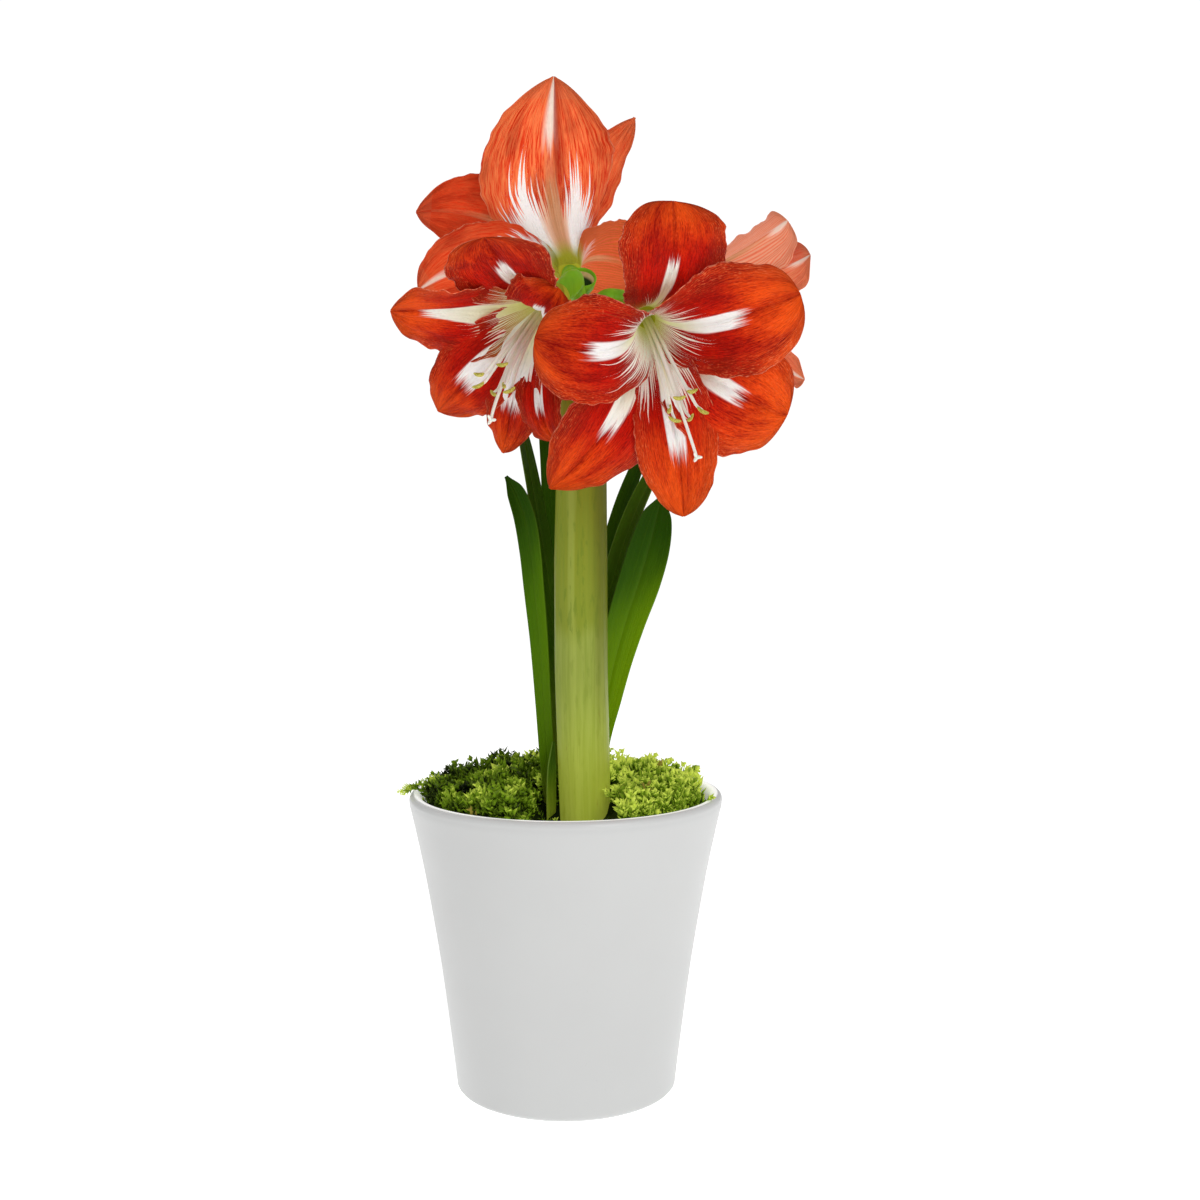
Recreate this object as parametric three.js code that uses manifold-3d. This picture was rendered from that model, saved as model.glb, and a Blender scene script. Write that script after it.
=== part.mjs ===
// An amaryllis in flower, standing in a white ceramic pot.
// Millimetres, +Z up, +X to the right. The plant's best side faces -Y.
// The origin is the centre of the pot's foot, on the surface that the pot stands on.

import * as THREE from 'three';
import { mergeVertices } from 'three/addons/utils/BufferGeometryUtils.js';
import Module from 'manifold-3d';

const wasm = await Module();
wasm.setup();

// ---------------------------------------------------------------- driving dimensions

const CLEAR = 0.35;               // gap that is kept between two pieces that touch
const SLIVER = 0.12;              // edges shorter than this, where petals cross, are closed up

const POT = {
  height: 152,
  lipRadius: 79.7,
  footRadius: 53,                 // flat ring that the pot stands on
  wall: 6.5,
  floor: 8,
  sides: 32,
  // the outside of the wall, as radius and height: steep foot, straight taper, flared lip
  outside: [[56.2, 1.8], [58.3, 20], [64.2, 65], [71, 106], [76, 131], [79.4, 146]],
};

const GROUND = 134.7;             // top of the soil, level with the neck of the bulb

const BULB = {
  centre: [3, -3],
  sides: 15,
  // outline from the basal plate up to the cut-off neck, as radius and height
  outline: [[0, 38], [17, 38], [32, 47], [42, 66], [43, 82], [37, 103], [29, 120], [27, GROUND]],
  roots: 6,
  rootRadius: 1.9,
};

const MOSS = {
  base: GROUND + CLEAR,
  radius: 72.2,
  edgeHeight: 148.5,              // where it meets the inside of the pot
  crownHeight: 159,               // top of the cushion, half way in
  slope: 34,                      // width of the rise from the edge to the crown
  // the hollow in front of the flower stem and the one round the young leaf; a greater steepness
  // makes a flatter floor and steeper sides
  stemGap: { x: 5, halfWidth: 20, depth: 20, steepness: 4 },
  leafGap: { x: -10, halfWidth: 7, depth: 8, steepness: 2 },
  thinnest: 2.5,
  rings: 6,
  sides: 28,
  relief: 4.6,                    // height of the rough surface, from hollow to knot
  tufts: 16,
  tuftLength: 9,
  tuftRadius: 3.6,
  // the loose shoot that hangs over the lip on the left
  sprig: [[-52, -3, 152], [-62, -4, 156], [-70, -5, 156.6], [-78, -6, 155.2], [-87, -8, 150.4]],
  sprigRadius: 1.9,
};

const SCAPE = {
  sides: 14,
  // centre line and radius of the flower stem, from the bulb to the point where it branches
  stations: [
    { at: [10, -15, GROUND + CLEAR], radius: 12.4 },
    { at: [9.4, -15, 165], radius: 13 },
    { at: [8, -15, 215], radius: 13.2 },
    { at: [7.8, -15, 270], radius: 13.2 },
    { at: [8.2, -14.5, 320], radius: 12.4 },
    { at: [7.6, -13, 365], radius: 11 },
    { at: [7, -12, 388], radius: 9.6 },
    { at: [7, -12, 396], radius: 6.5 },
  ],
  crown: [7, -12, 391],           // where the four flower stalks leave
  stalkRadius: 3.8,
  ovaryRadius: 5.6,
  ovaryLength: 15,
};

// The two withered leaves that wrapped the buds: where each one hangs, in degrees round the stem.
const BRACT = { clocks: [115, 20], halfWidth: 6.5, tipHalfWidth: 0.6, hang: 30, reach: 17, thickness: 0.8 };

// Strap leaves. Each station is the middle of the blade: x, y, z and half its width.
// turn is the angle in degrees between the blade and the XZ plane; channel is the depth of
// its hollow, as a share of that half width.
const LEAVES = [
  {
    name: 'leaf_1', turn: -12, channel: 0.3,
    stations: [[-7.2, -4.5, 135.1, 3], [-9.2, -6, 168, 4.1], [-11, -7.5, 199, 4.6],
      [-12.9, -8.5, 229, 5.2], [-15.3, -9, 255, 5.8], [-17.2, -8.5, 275, 6.2],
      [-20.2, -7, 292, 6.2], [-24.8, -4, 304, 5], [-30, 0, 312, 1]],
  },
  {
    name: 'leaf_2', turn: 64, channel: 0.3,
    stations: [[-4.5, 6.5, 135.1, 3.4], [-6, 7, 177, 4.6], [-7, 6.5, 219, 6.2],
      [-8.2, 5.5, 249, 7.5], [-10.6, 4.5, 270, 8.5], [-14, 4.5, 290, 9],
      [-17.5, 5, 310, 8.5], [-21.6, 7, 331, 6.5], [-26, 11, 353, 1]],
  },
  {
    name: 'leaf_3', turn: 12, channel: 0.3,
    stations: [[1.5, 14, 135.1, 6], [2, 15, 197, 8], [-1.2, 16, 249, 10.5], [-3, 17, 290, 11],
      [-5, 18, 326, 10.5], [-9.5, 20, 352, 7], [-14, 22, 368, 1]],
  },
  {
    name: 'leaf_4', turn: -28, channel: 0.35,
    stations: [[13, 19, 135.1, 4.2], [15.5, 20, 196, 5.5], [19, 22, 248, 5.8], [24, 25, 277, 5.6],
      [30, 28, 298, 5.2], [37, 32, 316, 4.6], [45, 38, 340, 1]],
  },
  {
    name: 'leaf_5', turn: -30, channel: 0.35,
    stations: [[13, 11.5, 135.1, 4], [15.5, 12, 197, 5.2], [19.5, 13, 239, 6], [26.4, 14.5, 267, 6.2],
      [35, 17, 292, 6], [42.6, 20, 309, 5], [52, 26, 331, 1]],
  },
  {
    name: 'leaf_6', turn: 8, channel: 0.2,
    stations: [[12.5, 3.5, 135.1, 5], [16.5, 3.5, 178, 7], [20.5, 3.5, 198, 8.5],
      [25, 4, 219, 10], [30.6, 4.5, 239, 11.3], [37.2, 5.5, 259, 12.4],
      [42.6, 7, 277, 11.8], [46.4, 9, 292, 8.6], [49.4, 11, 303, 1]],
  },
  {
    name: 'leaf_young', turn: 30, channel: 0.4,
    stations: [[-7.5, -12.5, 135.1, 2.6], [-7.6, -13, 150, 3], [-7.2, -13, 166, 2.6], [-6, -12.5, 179, 0.9]],
  },
];
const LEAF_THICKNESS = 1.3;

// Blooms. base is where the petals leave the ovary and faces is the way the funnel looks.
// A petal's clock is its angle in degrees round that axis, 0 at the top and 90 towards the right
// of someone who looks into a bloom that faces -Y. reach is how far its tip lies from the axis, rise
// how far the tip lies forward of the base, crown the control point of its midrib between throat
// and tip, as rise and reach. half is half its width, sweep its sideways curve and roll its twist
// in degrees. point is the sharpness of its tip: 0 is blunt and 1 is sharp.
const BLOOMS = [
  {
    name: 'front_right', base: [38.2, -39.8, 388.6], faces: [0.147, -0.903, -0.403], droop: 25, drift: 9,
    petals: [
      {
        clock: 3, reach: 64.5, rise: 44, crown: [66, 36], half: 27, sweep: -3, roll: -14,
        point: 0, outer: true,
      },
      {
        clock: 65, reach: 64.5, rise: 55, crown: [47, 18], half: 29, sweep: -2, roll: -1,
        point: 0.1, outer: false,
      },
      {
        clock: 125, reach: 69, rise: 50, crown: [59, 30], half: 31, sweep: -8, roll: 3,
        point: 0.2, outer: true,
      },
      {
        clock: 166, reach: 81, rise: 52, crown: [56, 28], half: 20.5, sweep: 3, roll: -5,
        point: 0.4, outer: false,
      },
      {
        clock: 209, reach: 83, rise: 51, crown: [68, 31], half: 26, sweep: 6, roll: 10,
        point: 0.7, outer: true,
      },
      {
        clock: 270, reach: 58.5, rise: 48, crown: [72, 21], half: 26, sweep: 5, roll: -2,
        point: 0.1, outer: false,
      },
    ],
  },
  {
    name: 'front_left', base: [-2, -39.8, 398.3], faces: [-0.461, -0.717, -0.523], droop: 14, drift: 0,
    petals: [
      {
        clock: 18, reach: 56, rise: 64, crown: [46, 32], half: 28, sweep: -2, roll: -19,
        point: 0.1, outer: true,
      },
      {
        clock: 298, reach: 54, rise: 58, crown: [35, 30], half: 28, sweep: 0, roll: 20,
        point: 0.5, outer: false,
      },
      {
        clock: 239, reach: 70, rise: 44, crown: [53, 27], half: 21, sweep: -1, roll: 1,
        point: 0.7, outer: true,
      },
      {
        clock: 197, reach: 66, rise: 41, crown: [43, 24], half: 15, sweep: 8, roll: 0,
        point: 0.6, outer: false,
      },
      {
        clock: 174, reach: 55, rise: 45, crown: [60, 36], half: 13, sweep: 0, roll: 0,
        point: 0.3, outer: true,
      },
      {
        clock: 61, reach: 40, rise: 40, crown: [54, 28], half: 19, sweep: -4, roll: -2,
        point: 0.3, outer: false,
      },
    ],
  },
  {
    name: 'back_left', base: [2.5, 2.3, 413.5], faces: [-0.24, 0.81, 0.53], droop: 18, drift: 0,
    petals: [
      {
        clock: 7, reach: 78.8, rise: 62, crown: [59, 16], half: 39.4, sweep: -3, roll: -1,
        point: 1, outer: true,
      },
      {
        clock: 82, reach: 68.5, rise: 59, crown: [70, 24], half: 24, sweep: 6, roll: 4,
        point: 0.6, outer: false,
      },
      {
        clock: 115, reach: 75, rise: 53, crown: [63, 33], half: 23, sweep: 4, roll: 2,
        point: 0.5, outer: true,
      },
      {
        clock: 180, reach: 62, rise: 52, crown: [62, 34], half: 21, sweep: 0, roll: 0,
        point: 0.2, outer: false,
      },
      {
        clock: 250, reach: 61, rise: 51, crown: [62, 35], half: 24, sweep: 0, roll: -1,
        point: 0.3, outer: true,
      },
      {
        clock: 311, reach: 72, rise: 66, crown: [72, 24], half: 19.5, sweep: 12, roll: -5,
        point: 0.9, outer: false,
      },
    ],
  },
  {
    name: 'back_right', base: [36.3, 14.2, 401], faces: [0.97, 0.22, -0.05], droop: 13, drift: 0,
    petals: [
      {
        clock: 337, reach: 48, rise: 71.5, crown: [62, 38], half: 25, sweep: -1, roll: -17,
        point: 0.2, outer: true,
      },
      {
        clock: 300, reach: 45, rise: 73.6, crown: [63, 31], half: 23, sweep: 3, roll: 11,
        point: 0.5, outer: false,
      },
      {
        clock: 222, reach: 54, rise: 78, crown: [60, 34], half: 24, sweep: 5, roll: -19,
        point: 0.6, outer: true,
      },
      {
        clock: 172, reach: 50, rise: 72, crown: [62, 34], half: 20, sweep: 0, roll: 0,
        point: 0.2, outer: false,
      },
      {
        clock: 115, reach: 54, rise: 68, crown: [62, 34], half: 21, sweep: 0, roll: 0,
        point: 0.3, outer: true,
      },
      {
        clock: 50, reach: 52, rise: 69, crown: [62, 34], half: 20, sweep: 0, roll: 0,
        point: 0.2, outer: false,
      },
    ],
  },
];

const PETAL = {
  thickness: 0.8,
  rows: 6,
  crowding: 0.035,                // how much closer the rows lie near base and tip than half way up
  columns: 4,
  outerClaw: 0.12,                // width at the base, as a share of the greatest width
  innerClaw: 0.11,
  tube: 24,                       // length of the narrow throat
  outerRoot: 5.2,                 // radius of the ring on which the three outer petals start
  innerRoot: 3.7,
  ahead: 5,                       // how far the three inner petals lie in front of the outer ones
  lobe: 0.1,                      // swelling beside the groove of the midrib
  wave: 2.2,                      // height of the waves along the margin, in mm
  waves: 2.2,                     // number of them from base to tip
  offset: 0.27,                   // lead of one margin's waves over the other's, half of it, in waves
};

// The short tube that joins the six petals, with a narrow bore for the stamens.
const CUP = {
  height: 8,
  floor: 2,
  footRadius: 5.6,
  mouthRadius: 6.3,
  boreFoot: 3,
  boreMouth: 3.5,
  sides: 12,
};

const STAMEN = {
  count: 6,
  radius: 1,
  ringRadius: 1.5,                // ring on which the filaments stand
  footRadius: 2.6,
  footHeight: 3.4,
  length: 70,                     // with the anther, which is the last eighth
  spread: 5,                      // how far the filaments lie apart near their tips
  antherRadius: 1.5,
  styleLength: 79,
  stigmaLobe: 3.4,
};

// ---------------------------------------------------------------- small helpers

const vec = (x, y, z) => new THREE.Vector3(x, y, z);
const clamp01 = (t) => Math.min(Math.max(t, 0), 1);
const smooth = (x, from, to) => {
  const t = clamp01((x - from) / (to - from));
  return t * t * (3 - 2 * t);
};
const radians = THREE.MathUtils.degToRad;

// A number between 0 and 1 that depends only on its seed.
const chance = (seed) => {
  const s = Math.sin(seed * 127.1 + 11.7) * 43758.5453;
  return s - Math.floor(s);
};

function geometryFrom(points, triangles) {
  const geometry = new THREE.BufferGeometry();
  geometry.setAttribute('position', new THREE.Float32BufferAttribute(points.flatMap((p) => p.toArray()), 3));
  geometry.setIndex(triangles);
  return geometry;
}

function solidFrom(geometry) {
  const bare = geometry.clone();
  bare.deleteAttribute('normal');
  bare.deleteAttribute('uv');
  const merged = mergeVertices(bare, 1e-4);
  return new wasm.Manifold(new wasm.Mesh({
    numProp: 3,
    vertProperties: new Float32Array(merged.attributes.position.array),
    triVerts: new Uint32Array(merged.index.array),
  }));
}

// The largest connected body of a solid: leaves out scraps and sealed hollows.
function mainBody(solid) {
  return solid.decompose().reduce((best, piece) => (piece.volume() > best.volume() ? piece : best));
}

function geometryOf(solid) {
  const { vertProperties, triVerts, numProp } = mainBody(solid).getMesh();
  const geometry = new THREE.BufferGeometry();
  const positions = [];
  for (let i = 0; i < vertProperties.length; i += numProp) {
    positions.push(vertProperties[i], vertProperties[i + 1], vertProperties[i + 2]);
  }
  geometry.setAttribute('position', new THREE.Float32BufferAttribute(positions, 3));
  geometry.setIndex(Array.from(triVerts));
  const plain = geometry.toNonIndexed();
  plain.computeVertexNormals();
  return plain;
}

const join = (solids) => solids.reduce((whole, solid) => whole.add(solid));

// A closed skin through rings of points. Every ring has the same number of points, anticlockwise
// when seen from the last ring, and each end is closed by a fan round its middle.
function loft(rings) {
  const sides = rings[0].length;
  const points = rings.flat();
  const triangles = [];
  for (let row = 0; row + 1 < rings.length; row += 1) {
    for (let side = 0; side < sides; side += 1) {
      const next = (side + 1) % sides;
      const [a, b] = [row * sides + side, row * sides + next];
      const [c, d] = [a + sides, b + sides];
      triangles.push(a, b, d, a, d, c);
    }
  }
  const middle = (ring) => ring.reduce((sum, p) => sum.add(p), vec(0, 0, 0)).divideScalar(sides);
  const foot = points.push(middle(rings[0])) - 1;
  const top = points.push(middle(rings[rings.length - 1])) - 1;
  const last = (rings.length - 1) * sides;
  for (let side = 0; side < sides; side += 1) {
    const next = (side + 1) % sides;
    triangles.push(foot, next, side, top, last + side, last + next);
  }
  return geometryFrom(points, triangles);
}

// A round rod along a curve; radiusAt gives its radius from t = 0 at the start to 1 at the end.
// kept names the steps that get a ring of points, where not all of them do.
function rod(curve, radiusAt, steps, sides, kept = null) {
  const rings = [];
  const frames = curve.computeFrenetFrames(steps, false);
  const every = Array.from({ length: steps + 1 }, (_, step) => step);
  for (const step of kept ?? every) {
    const centre = curve.getPointAt(step / steps);
    const ring = [];
    for (let side = 0; side < sides; side += 1) {
      const angle = (2 * Math.PI * side) / sides;
      const out = frames.normals[step].clone().multiplyScalar(Math.cos(angle))
        .addScaledVector(frames.binormals[step], Math.sin(angle));
      ring.push(centre.clone().addScaledVector(out, radiusAt(step / steps)));
    }
    rings.push(ring);
  }
  return solidFrom(loft(rings));
}

// A closed blade of even thickness round the surface that pointAt(u, v) gives for u from 0 to 1
// and v from -1 to 1. Both faces are split along the same diagonals.
function blade(pointAt, rows, columns, thickness) {
  const step = 1e-3;
  const faces = [[], []];
  for (let row = 0; row <= rows; row += 1) {
    for (let column = 0; column <= columns; column += 1) {
      const u = row / rows;
      const v = -1 + (2 * column) / columns;
      const alongU = pointAt(Math.min(u + step, 1), v).sub(pointAt(Math.max(u - step, 0), v));
      const alongV = pointAt(u, Math.min(v + step, 1)).sub(pointAt(u, Math.max(v - step, -1)));
      const normal = alongU.cross(alongV).normalize();
      const middle = pointAt(u, v);
      faces[0].push(middle.clone().addScaledVector(normal, thickness / 2));
      faces[1].push(middle.clone().addScaledVector(normal, -thickness / 2));
    }
  }
  const width = columns + 1;
  const back = faces[0].length;
  const triangles = [];
  const quad = (a, b, c, d) => triangles.push(a, b, c, a, c, d);
  for (let row = 0; row < rows; row += 1) {
    for (let column = 0; column < columns; column += 1) {
      const a = row * width + column;
      const corners = [a, a + width, a + width + 1, a + 1];
      quad(...corners);
      const [p, q, r, s] = corners.map((corner) => corner + back);
      triangles.push(p, r, q, p, s, r);
    }
  }
  const edge = (a, b) => quad(b, a, a + back, b + back);
  for (let row = 0; row < rows; row += 1) {
    edge(row * width, (row + 1) * width);
    edge((row + 1) * width + columns, row * width + columns);
  }
  for (let column = 0; column < columns; column += 1) {
    edge(column + 1, column);
    edge(rows * width + column, rows * width + column + 1);
  }
  return solidFrom(geometryFrom([...faces[0], ...faces[1]], triangles));
}

function turned(profile, sides) {
  return new THREE.LatheGeometry(profile.map(([r, z]) => new THREE.Vector2(r, z)), sides)
    .rotateX(Math.PI / 2);
}

// ---------------------------------------------------------------- pot, soil and bulb

const potSide = new THREE.SplineCurve(POT.outside.map(([r, z]) => new THREE.Vector2(r, z)));

function potOutsideAt(height) {
  let [low, high] = [0, 1];
  for (let i = 0; i < 30; i += 1) {
    const middle = (low + high) / 2;
    if (potSide.getPoint(middle).y < height) low = middle;
    else high = middle;
  }
  return potSide.getPoint(low).x;
}

const potInsideAt = (height) => potOutsideAt(Math.max(height, 2)) - POT.wall;

function pot() {
  const steps = 6;
  const profile = [[0, 0], [POT.footRadius, 0], [POT.footRadius + 2, 0.5]];
  for (let i = 0; i <= steps; i += 1) profile.push(potSide.getPoint(i / steps).toArray());
  const lip = POT.wall / 2;
  for (const angle of [0, 45, 90, 135, 180]) {
    const turn = radians(angle);
    profile.push([POT.lipRadius - lip + lip * Math.cos(turn), POT.height - lip + lip * Math.sin(turn)]);
  }
  for (const height of [125, 65, 24]) profile.push([potInsideAt(height), height]);
  profile.push([potInsideAt(POT.floor) - 3, POT.floor], [0, POT.floor]);
  return turned(profile, POT.sides);
}

function bulbSolid(extra) {
  const [x, y] = BULB.centre;
  const lift = extra * 0.7;
  const body = BULB.outline.map(([r, z], i) => {
    if (i === 0) return [0, z - lift];
    if (i === BULB.outline.length - 1) return [r + extra, z + (extra > 0 ? 5 : 0)];
    return [r + extra, z - (z < 60 ? lift : 0)];
  });
  body.push([0, body[body.length - 1][1]]);
  const bulb = solidFrom(turned(body, BULB.sides).translate(x, y, 0));
  const roots = [];
  for (let i = 0; i < BULB.roots; i += 1) {
    const angle = (2 * Math.PI * (i + 0.3 * chance(i))) / BULB.roots;
    const reach = 22 + 12 * chance(i + 20);
    const at = (r, z, twist) => vec(x + r * Math.cos(angle + twist), y + r * Math.sin(angle + twist), z);
    const path = new THREE.CatmullRomCurve3([
      at(12, 42, 0), at(16, 33, 0.1), at(0.7 * reach, 22, 0.3), at(reach, 13 + 5 * chance(i + 40), 0.6),
    ]);
    roots.push(rod(path, (t) => (BULB.rootRadius + extra) * (1 - 0.4 * t), 4, 4));
  }
  return join([bulb, ...roots]);
}

function soil() {
  const heights = [24, 65, GROUND];
  const profile = [[0, POT.floor + CLEAR], [potInsideAt(POT.floor) - 3 - 2 * CLEAR, POT.floor + CLEAR]];
  for (const height of heights) profile.push([potInsideAt(height) - CLEAR - 0.1, height]);
  profile.push([0, GROUND]);
  return solidFrom(turned(profile, POT.sides)).subtract(bulbSolid(CLEAR));
}

// ---------------------------------------------------------------- leaves

function leafSurface(leaf) {
  const middle = new THREE.CatmullRomCurve3(leaf.stations.map(([x, y, z]) => vec(x, y, z)));
  const width = new THREE.SplineCurve(leaf.stations.map(([, , , half], i) => new THREE.Vector2(i, half)));
  const turn = radians(leaf.turn);
  const across = vec(Math.cos(turn), Math.sin(turn), 0);
  return (u, v) => {
    const half = width.getPoint(u).y;
    const along = middle.getTangent(u);
    const side = across.clone().addScaledVector(along, -across.dot(along)).normalize();
    const out = along.clone().cross(side).normalize();
    return middle.getPoint(u)
      .addScaledVector(side, half * v * (1 - 0.12 * v * v))
      .addScaledVector(out, -leaf.channel * half * v * v);
  };
}

// The leaf, or with a clearance the hole that it stands in: wider all round and open below.
function leafSolid(leaf, clearance = 0) {
  const shape = leafSurface(leaf);
  const rows = leaf.stations.length + 1;
  if (clearance === 0) return blade(shape, rows, 4, LEAF_THICKNESS);
  const below = shape(0, 0).sub(shape(0.02, 0)).multiplyScalar(3);
  const widened = (u, v) => {
    const point = shape(u, v);
    const outward = point.clone().sub(shape(u, 0));
    if (outward.length() > 0.01) point.addScaledVector(outward.normalize(), clearance);
    return u === 0 ? point.add(below) : point;
  };
  return blade(widened, rows, 4, LEAF_THICKNESS + 2 * clearance);
}

// ---------------------------------------------------------------- blooms

// The directions that a bloom's own measures use: forward, up and right.
function bloomFrame(bloom) {
  const forward = vec(...bloom.faces).normalize();
  const up = vec(0, 0, 1).addScaledVector(forward, -forward.z).normalize();
  const right = up.clone().cross(forward);
  const place = (ahead, above, aside) => vec(...bloom.base)
    .addScaledVector(forward, ahead).addScaledVector(up, above).addScaledVector(right, aside);
  return { forward, up, right, place };
}

// Width of a petal from base to tip, 1 where it is widest: it rises almost evenly and then closes
// in a blunt or a sharp tip.
const PETAL_RISE = 0.85;
function petalShape(u, point) {
  const [power, close] = [4.2 - 2 * point, 0.42 + 0.5 * point];
  const width = (t) => t ** PETAL_RISE * (1 - t ** power) ** close;
  const widest = (PETAL_RISE / (PETAL_RISE + power * close)) ** (1 / power);
  return width(u) / width(widest);
}

function petalSurface(bloom, petal) {
  const { forward, up, right } = bloomFrame(bloom);
  const [root, claw, ahead] = petal.outer
    ? [PETAL.outerRoot, PETAL.outerClaw, 0]
    : [PETAL.innerRoot, PETAL.innerClaw, PETAL.ahead];
  const midrib = new THREE.CubicBezierCurve(
    new THREE.Vector2(0, root),
    new THREE.Vector2(PETAL.tube + ahead, root * 1.6),
    new THREE.Vector2(petal.crown[0] + ahead, petal.crown[1]),
    new THREE.Vector2(petal.rise + ahead, petal.reach),
  );
  const spread = (u) => {
    const angle = radians(petal.clock + petal.sweep * u * u);
    const out = up.clone().multiplyScalar(Math.cos(angle)).addScaledVector(right, Math.sin(angle));
    const aside = up.clone().multiplyScalar(-Math.sin(angle)).addScaledVector(right, Math.cos(angle));
    return { out, aside };
  };
  const middle = (u) => {
    const { x: rise, y: reach } = midrib.getPoint(u);
    return vec(...bloom.base).addScaledVector(forward, rise).addScaledVector(spread(u).out, reach);
  };
  const phase = petal.clock / 47;
  return (u, v) => {
    const along = middle(Math.min(u + 1e-3, 1)).sub(middle(Math.max(u - 1e-3, 0))).normalize();
    const { aside } = spread(u);
    const flat = aside.addScaledVector(along, -aside.dot(along)).normalize();
    const face = flat.clone().cross(along);
    const roll = radians(petal.roll) * smooth(u, 0.15, 0.9);
    const side = flat.clone().multiplyScalar(Math.cos(roll)).addScaledVector(face, Math.sin(roll));
    const inward = face.multiplyScalar(Math.cos(roll)).addScaledVector(flat, -Math.sin(roll));

    const width = petalShape(u, petal.point) + claw * (1 - u) ** 3;
    const half = Math.max(petal.half * width, 0.8);
    // across its midrib the blade curves round the bloom's axis, so it is flat where it stands square
    // to that axis
    const wrap = Math.max((half / midrib.getPoint(u).y) * Math.abs(along.dot(forward)), 1e-3);
    const across = (Math.sin(wrap * v) * half) / wrap;
    const bend = ((1 - Math.cos(wrap * v)) * half) / wrap;
    const body = smooth(u, 0.12, 0.5) * (1 - 0.6 * smooth(u, 0.85, 1));
    const swell = PETAL.lobe * half * Math.sin(Math.PI * Math.abs(v) ** 0.8) * body;
    const margin = Math.abs(v) ** 2.2 * smooth(u, 0.15, 0.45) * (1 - smooth(u, 0.88, 1));
    const turns = PETAL.waves * u + phase + PETAL.offset * Math.sign(v);
    const wave = PETAL.wave * Math.sin(2 * Math.PI * turns) * margin;
    return middle(u).addScaledVector(side, across).addScaledVector(inward, bend + swell + wave);
  };
}

// The six petals and the short tube that joins them, open towards the throat.
function bloomSolid(bloom) {
  const { forward, place } = bloomFrame(bloom);
  const cup = solidFrom(turned([
    [0, 0], [CUP.footRadius, 0], [CUP.mouthRadius, CUP.height], [CUP.boreMouth, CUP.height],
    [CUP.boreFoot, CUP.floor], [0, CUP.floor],
  ], CUP.sides)
    .applyQuaternion(new THREE.Quaternion().setFromUnitVectors(vec(0, 0, 1), forward))
    .translate(...place(0, 0, 0).toArray()));
  const crowded = (u) => u - PETAL.crowding * Math.sin(2 * Math.PI * u);
  const petals = bloom.petals.map((petal) => {
    const surface = petalSurface(bloom, petal);
    return blade((u, v) => surface(crowded(u), v), PETAL.rows, PETAL.columns, PETAL.thickness);
  });
  return join([cup, ...petals]).simplify(SLIVER);
}

// Six filaments with their anthers, and the longer style with its three-lobed stigma.
function stamenSolid(bloom) {
  const { place } = bloomFrame(bloom);
  const foot = CUP.floor + CLEAR;
  const footing = new THREE.LineCurve3(place(foot, 0, 0), place(foot + STAMEN.footHeight, 0, 0));
  const parts = [rod(footing, () => STAMEN.footRadius, 1, 6)];
  // a thread keeps to the bloom's axis at first, then sinks by droop and leans aside by drift
  const thread = (clock, ring, length, spread, bend) => {
    const [up, side] = [Math.cos(clock), Math.sin(clock)];
    const [droop, drift] = [bend * bloom.droop, bend * bloom.drift];
    return new THREE.CubicBezierCurve3(
      place(foot + 1, ring * up, ring * side),
      place(0.48 * length, 1.4 * up, 1.4 * side),
      place(0.9 * length, spread * up - 0.7 * droop, spread * side + 0.7 * drift),
      place(length, 1.5 * spread * up - droop, 1.6 * spread * side + drift),
    );
  };
  for (let i = 0; i < STAMEN.count; i += 1) {
    const clock = (2 * Math.PI * (i + 0.5)) / STAMEN.count;
    const length = STAMEN.length * (0.9 + 0.14 * chance(i + 3));
    const path = thread(clock, STAMEN.ringRadius, length, STAMEN.spread, 1);
    const thickness = (t) => (t > 0.9 && t < 1 ? STAMEN.antherRadius : STAMEN.radius);
    parts.push(rod(path, thickness, 16, 3, [0, 5, 10, 14, 15, 16]));
  }
  const style = thread(Math.PI, 0.2, STAMEN.styleLength, 2, 1.5);
  parts.push(rod(style, () => STAMEN.radius, 5, 3));
  const stigma = style.getPoint(1);
  for (const clock of [0, 120, 240].map(radians)) {
    const lobe = vec(Math.cos(clock), -0.4, Math.sin(clock)).setLength(STAMEN.stigmaLobe);
    parts.push(rod(new THREE.LineCurve3(stigma, stigma.clone().add(lobe)), (t) => 1 - 0.5 * t, 1, 3));
  }
  return join(parts);
}

// ---------------------------------------------------------------- flower stem

function scapeSolid(extra = 0) {
  const centres = SCAPE.stations.map(({ at: [x, y, z] }, i) => (
    vec(x, y, i === 0 && extra > 0 ? z - 3 : z)
  ));
  const rings = SCAPE.stations.map(({ radius }, i) => {
    const ring = [];
    for (let side = 0; side < SCAPE.sides; side += 1) {
      const angle = (2 * Math.PI * side) / SCAPE.sides;
      const out = vec(Math.cos(angle), Math.sin(angle), 0);
      ring.push(centres[i].clone().addScaledVector(out, radius + extra));
    }
    return ring;
  });
  return solidFrom(loft(rings));
}

function stalkSolid(bloom) {
  const { forward, place } = bloomFrame(bloom);
  const crown = vec(...SCAPE.crown);
  const ovaryFoot = place(-SCAPE.ovaryLength, 0, 0);
  const path = new THREE.CatmullRomCurve3([
    crown,
    crown.clone().lerp(ovaryFoot, 0.55).addScaledVector(forward, -2),
    ovaryFoot,
    place(-SCAPE.ovaryLength / 2, 0, 0),
    place(-CLEAR, 0, 0),
  ]);
  const ovary = (t) => SCAPE.stalkRadius
    + (SCAPE.ovaryRadius - SCAPE.stalkRadius) * smooth(t, 0.45, 0.72) * (1 - 0.35 * smooth(t, 0.8, 1));
  return rod(path, ovary, 6, 7);
}

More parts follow.
